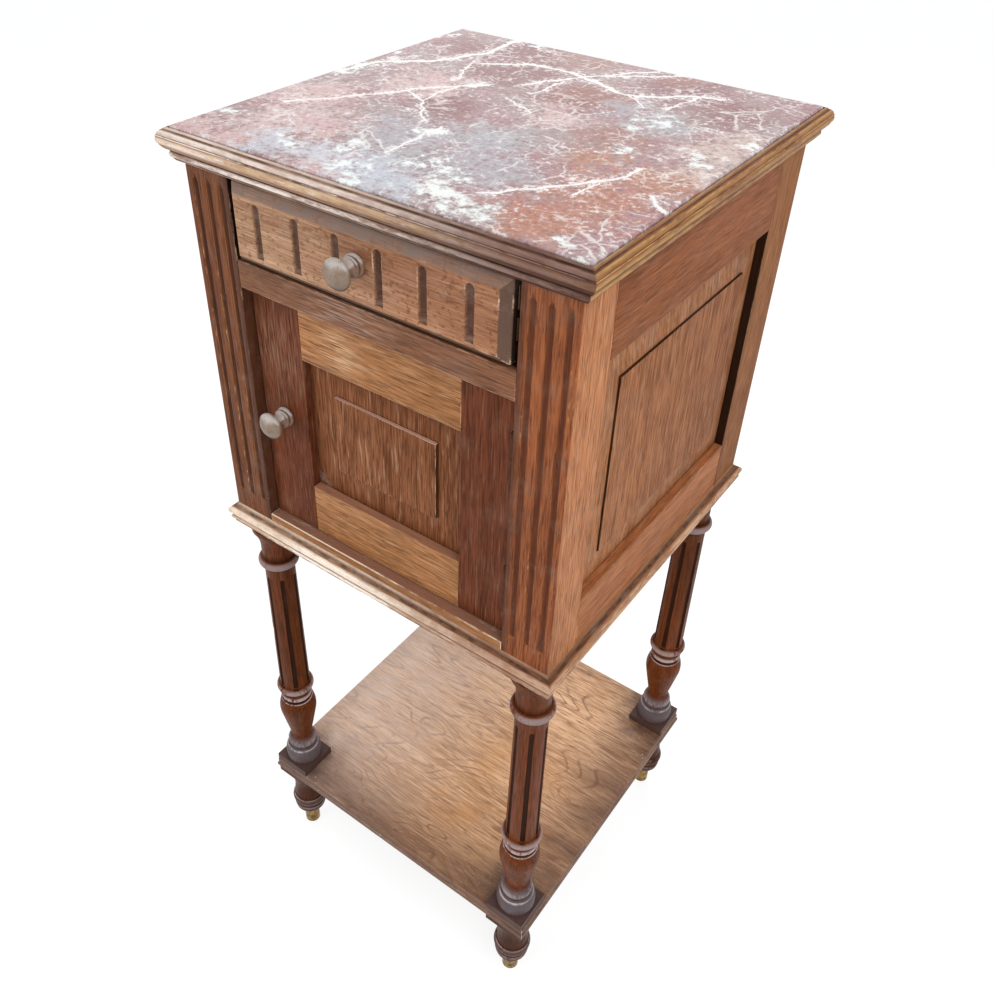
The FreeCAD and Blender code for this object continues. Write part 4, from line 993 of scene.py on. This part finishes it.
def finish_mouldings():
    cornice_front = moulding_oak(
        "cornice_front_oak", "c2a08a", "8a6654", "eadcd2", CORNICE_FRONT_STRIPS, "c6b6ae", "937b74",
    )
    cornice_side = moulding_oak(
        "cornice_side_oak", "9b6038", "6a3d22", "bf955f", CORNICE_SIDE_STRIPS, "846a58",
    )
    base_front = moulding_oak(
        "base_front_oak", "c8a382", "8d654a", "f4e6d8", BASE_FRONT_STRIPS, "d0c0b6", "ccb3a5",
    )
    base_side = moulding_oak(
        "base_side_oak", "a06c48", "704630", "d0a888", BASE_SIDE_STRIPS, "9a8478",
    )
    for edge in EDGES:
        along_front = edge in ("front", "back")
        grain_axis = "x" if along_front else "y"
        cornice = cornice_front if along_front else cornice_side
        base = base_front if along_front else base_side
        finish_piece(f"cornice_{edge}", "root", cornice, grain_axis, relief=True)
        finish_piece(f"base_moulding_{edge}", "root", base, grain_axis, relief=True)


def finish_inside():
    inner = board_oak("inner_oak", "a98864", "7f5f42", worn="b99a78", shade="54402d", polish=0.6).done()
    across = ("back_rail_top", "back_rail_bottom", "case_floor", "dust_panel", "door_stop")
    for node in across:
        finish_piece(node, "root", inner, "x", INNER_ARRIS)
    finish_piece("back_panel", "root", inner, "z", INNER_ARRIS)
    for side in SIDES:
        finish_piece(f"drawer_runner_{side}", "root", inner, "y", INNER_ARRIS)
        finish_piece(f"drawer_side_{side}", "drawer", inner, "y", DRAWER_BOX_ARRIS)
    finish_piece("drawer_back", "drawer", inner, "x", DRAWER_BOX_ARRIS)
    finish_piece("drawer_bottom", "drawer", inner, "x", DRAWER_BOX_ARRIS)


def finish_stand():
    turned = turned_oak()
    for corner in CORNERS:
        finish_piece(f"leg_{corner}", "root", turned, "z", relief=True)
        finish_piece(f"foot_{corner}", "root", turned, "z", relief=True)
    finish_piece("shelf", "root", shelf_oak(), "x", SHELF_ARRIS)


def finish_drawer_and_door():
    finish_piece("drawer_front", "drawer", drawer_front_oak(), "x", DRAWER_FRONT_ARRIS)
    stile = board_oak(
        "door_stile_oak", "7a4127", "4c2412", worn="8a5a3e", shade="2c160d",
        bands=0.7, lines=1.1, pores=0.7, rays=0.15, sheen=0.08,
    )
    stile.scratches("b08a72", *DOOR_STILE_SCRATCHES, 0.3)
    stile = stile.done()
    for side in SIDES:
        finish_piece(f"door_stile_{side}", "door", stile, "z", RAIL_ARRIS)
    rail = door_rail_oak()
    for level in ("top", "bottom"):
        finish_piece(f"door_rail_{level}", "door", rail, "x", RAIL_ARRIS)
    finish_piece("door_panel", "door", door_panel_oak(), "z", PANEL_ARRIS)
    knob = knob_oak()
    finish_piece("drawer_knob", "drawer", knob, "y", relief=True)
    finish_piece("door_knob", "door", knob, "y", relief=True)


def finish_metal():
    brass = dull_metal("tip_brass", "a07f46", "5b4628", 0.3, 0.9, 0.5)
    iron = dull_metal("hinge_iron", "573526", "3a2117", 0.6, 0.0, 0.1)
    tips = [f"foot_tip_{corner}" for corner in CORNERS]
    hinge_names = ("case_leaves", "door_leaves", "pins", "case_screws", "door_screws")
    hinges = [f"hinge_{name}" for name in hinge_names]
    for names, metal in ((tips, brass), (hinges, iron)):
        for name in names:
            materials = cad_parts[name].data.materials
            materials.clear()
            materials.append(metal)


# Studio

IMAGE_SIZE = (994, 995)
FOCAL_PIXELS = 988.4
CENTRE_PIXEL = (469.9, 457.4)
SENSOR_WIDTH = 36.0
CAMERA_PLACE = Vector((0.41111, -0.61413, 1.09815))
CAMERA_RIGHT = Vector((0.80386, 0.59449, 0.01948))
CAMERA_UP = Vector((-0.37243, 0.47752, 0.79579))
NEAREST_SEEN = 0.01
FLOOR_REACH = 8.0
FLOOR_GREY = (0.88, 0.88, 0.88, 1.0)
SHADOW_GREY = (0.30, 0.30, 0.30, 1.0)
FLOOR_GLOW = 0.78
WHITE = (1.0, 1.0, 1.0, 1.0)
SKY_COLOR = (0.97, 0.985, 1.0, 1.0)
SKY_STRENGTH = 0.72
# Lamps: place and size in metres, power in watts
LAMP_AIM = Vector((0.0, 0.0, 0.5))
LAMPS = (
    ("key", (1.5, -0.9, 2.2), 1.6, 24.0),
    ("fill", (-1.2, -1.9, 0.9), 1.8, 14.0),
    ("sky", (-0.75, 1.15, 1.35), 1.4, 9.0),
)


def add_camera():
    long_side = max(IMAGE_SIZE)
    data = bpy.data.cameras.new("photo_camera")
    data.sensor_width = SENSOR_WIDTH
    data.lens = FOCAL_PIXELS * SENSOR_WIDTH / long_side
    data.shift_x = (IMAGE_SIZE[0] / 2 - CENTRE_PIXEL[0]) / long_side
    data.shift_y = (CENTRE_PIXEL[1] - IMAGE_SIZE[1] / 2) / long_side
    data.clip_start = NEAREST_SEEN
    camera = bpy.data.objects.new("photo_camera", data)
    bpy.context.scene.collection.objects.link(camera)
    back = CAMERA_RIGHT.cross(CAMERA_UP)
    turn = Matrix((CAMERA_RIGHT, CAMERA_UP, back)).transposed().to_4x4()
    camera.matrix_world = Matrix.Translation(CAMERA_PLACE) @ turn
    bpy.context.scene.camera = camera


def straight_rays(tree):
    """Rays that show the plain white surroundings: to the camera, off metal and through glass."""
    path = put(tree, "LightPath").outputs
    straight = calc(tree, "MAXIMUM", path["Is Camera Ray"], path["Is Transmission Ray"])
    return calc(tree, "MAXIMUM", straight, path["Is Glossy Ray"])


def add_floor():
    mesh = bmesh.new()
    bmesh.ops.create_grid(mesh, x_segments=1, y_segments=1, size=FLOOR_REACH)
    data = bpy.data.meshes.new("floor")
    mesh.to_mesh(data)
    mesh.free()
    floor = bpy.data.objects.new("floor", data)
    bpy.context.scene.collection.objects.link(floor)
    material = bpy.data.materials.new("pale_floor")
    material.use_nodes = True
    tree = material.node_tree
    tree.nodes.clear()
    plain = put(tree, "BsdfDiffuse", {"Color": FLOOR_GREY})
    shadow = put(tree, "BsdfDiffuse", {"Color": SHADOW_GREY})
    glow = put(tree, "Emission", {"Color": WHITE, "Strength": FLOOR_GLOW})
    seen = put(tree, "AddShader", {0: shadow.outputs[0], 1: glow.outputs[0]})
    mix = put(tree, "MixShader", {0: straight_rays(tree), 1: plain.outputs[0], 2: seen.outputs[0]})
    output = tree.nodes.new("ShaderNodeOutputMaterial")
    tree.links.new(mix.outputs[0], output.inputs["Surface"])
    data.materials.append(material)


def add_light():
    world = bpy.data.worlds.new("studio")
    bpy.context.scene.world = world
    world.use_nodes = True
    tree = world.node_tree
    tree.nodes.clear()
    lit = put(tree, "Background", {"Color": SKY_COLOR, "Strength": SKY_STRENGTH})
    seen = put(tree, "Background", {"Color": WHITE, "Strength": 1.0})
    mix = put(tree, "MixShader", {0: straight_rays(tree), 1: lit.outputs[0], 2: seen.outputs[0]})
    output = tree.nodes.new("ShaderNodeOutputWorld")
    tree.links.new(mix.outputs[0], output.inputs["Surface"])
    for name, place, size, power in LAMPS:
        data = bpy.data.lights.new(name, "AREA")
        data.shape = "DISK"
        data.size = size
        data.energy = power
        lamp = bpy.data.objects.new(name, data)
        bpy.context.scene.collection.objects.link(lamp)
        lamp.location = place
        lamp.rotation_mode = "QUATERNION"
        lamp.rotation_quaternion = (LAMP_AIM - Vector(place)).to_track_quat("-Z", "Y")


finish_piece("marble_top", "root", slab_marble())
finish_case()
finish_mouldings()
finish_inside()
finish_stand()
finish_drawer_and_door()
finish_metal()
add_camera()
add_floor()
add_light()
bpy.context.scene.view_settings.view_transform = "Standard"
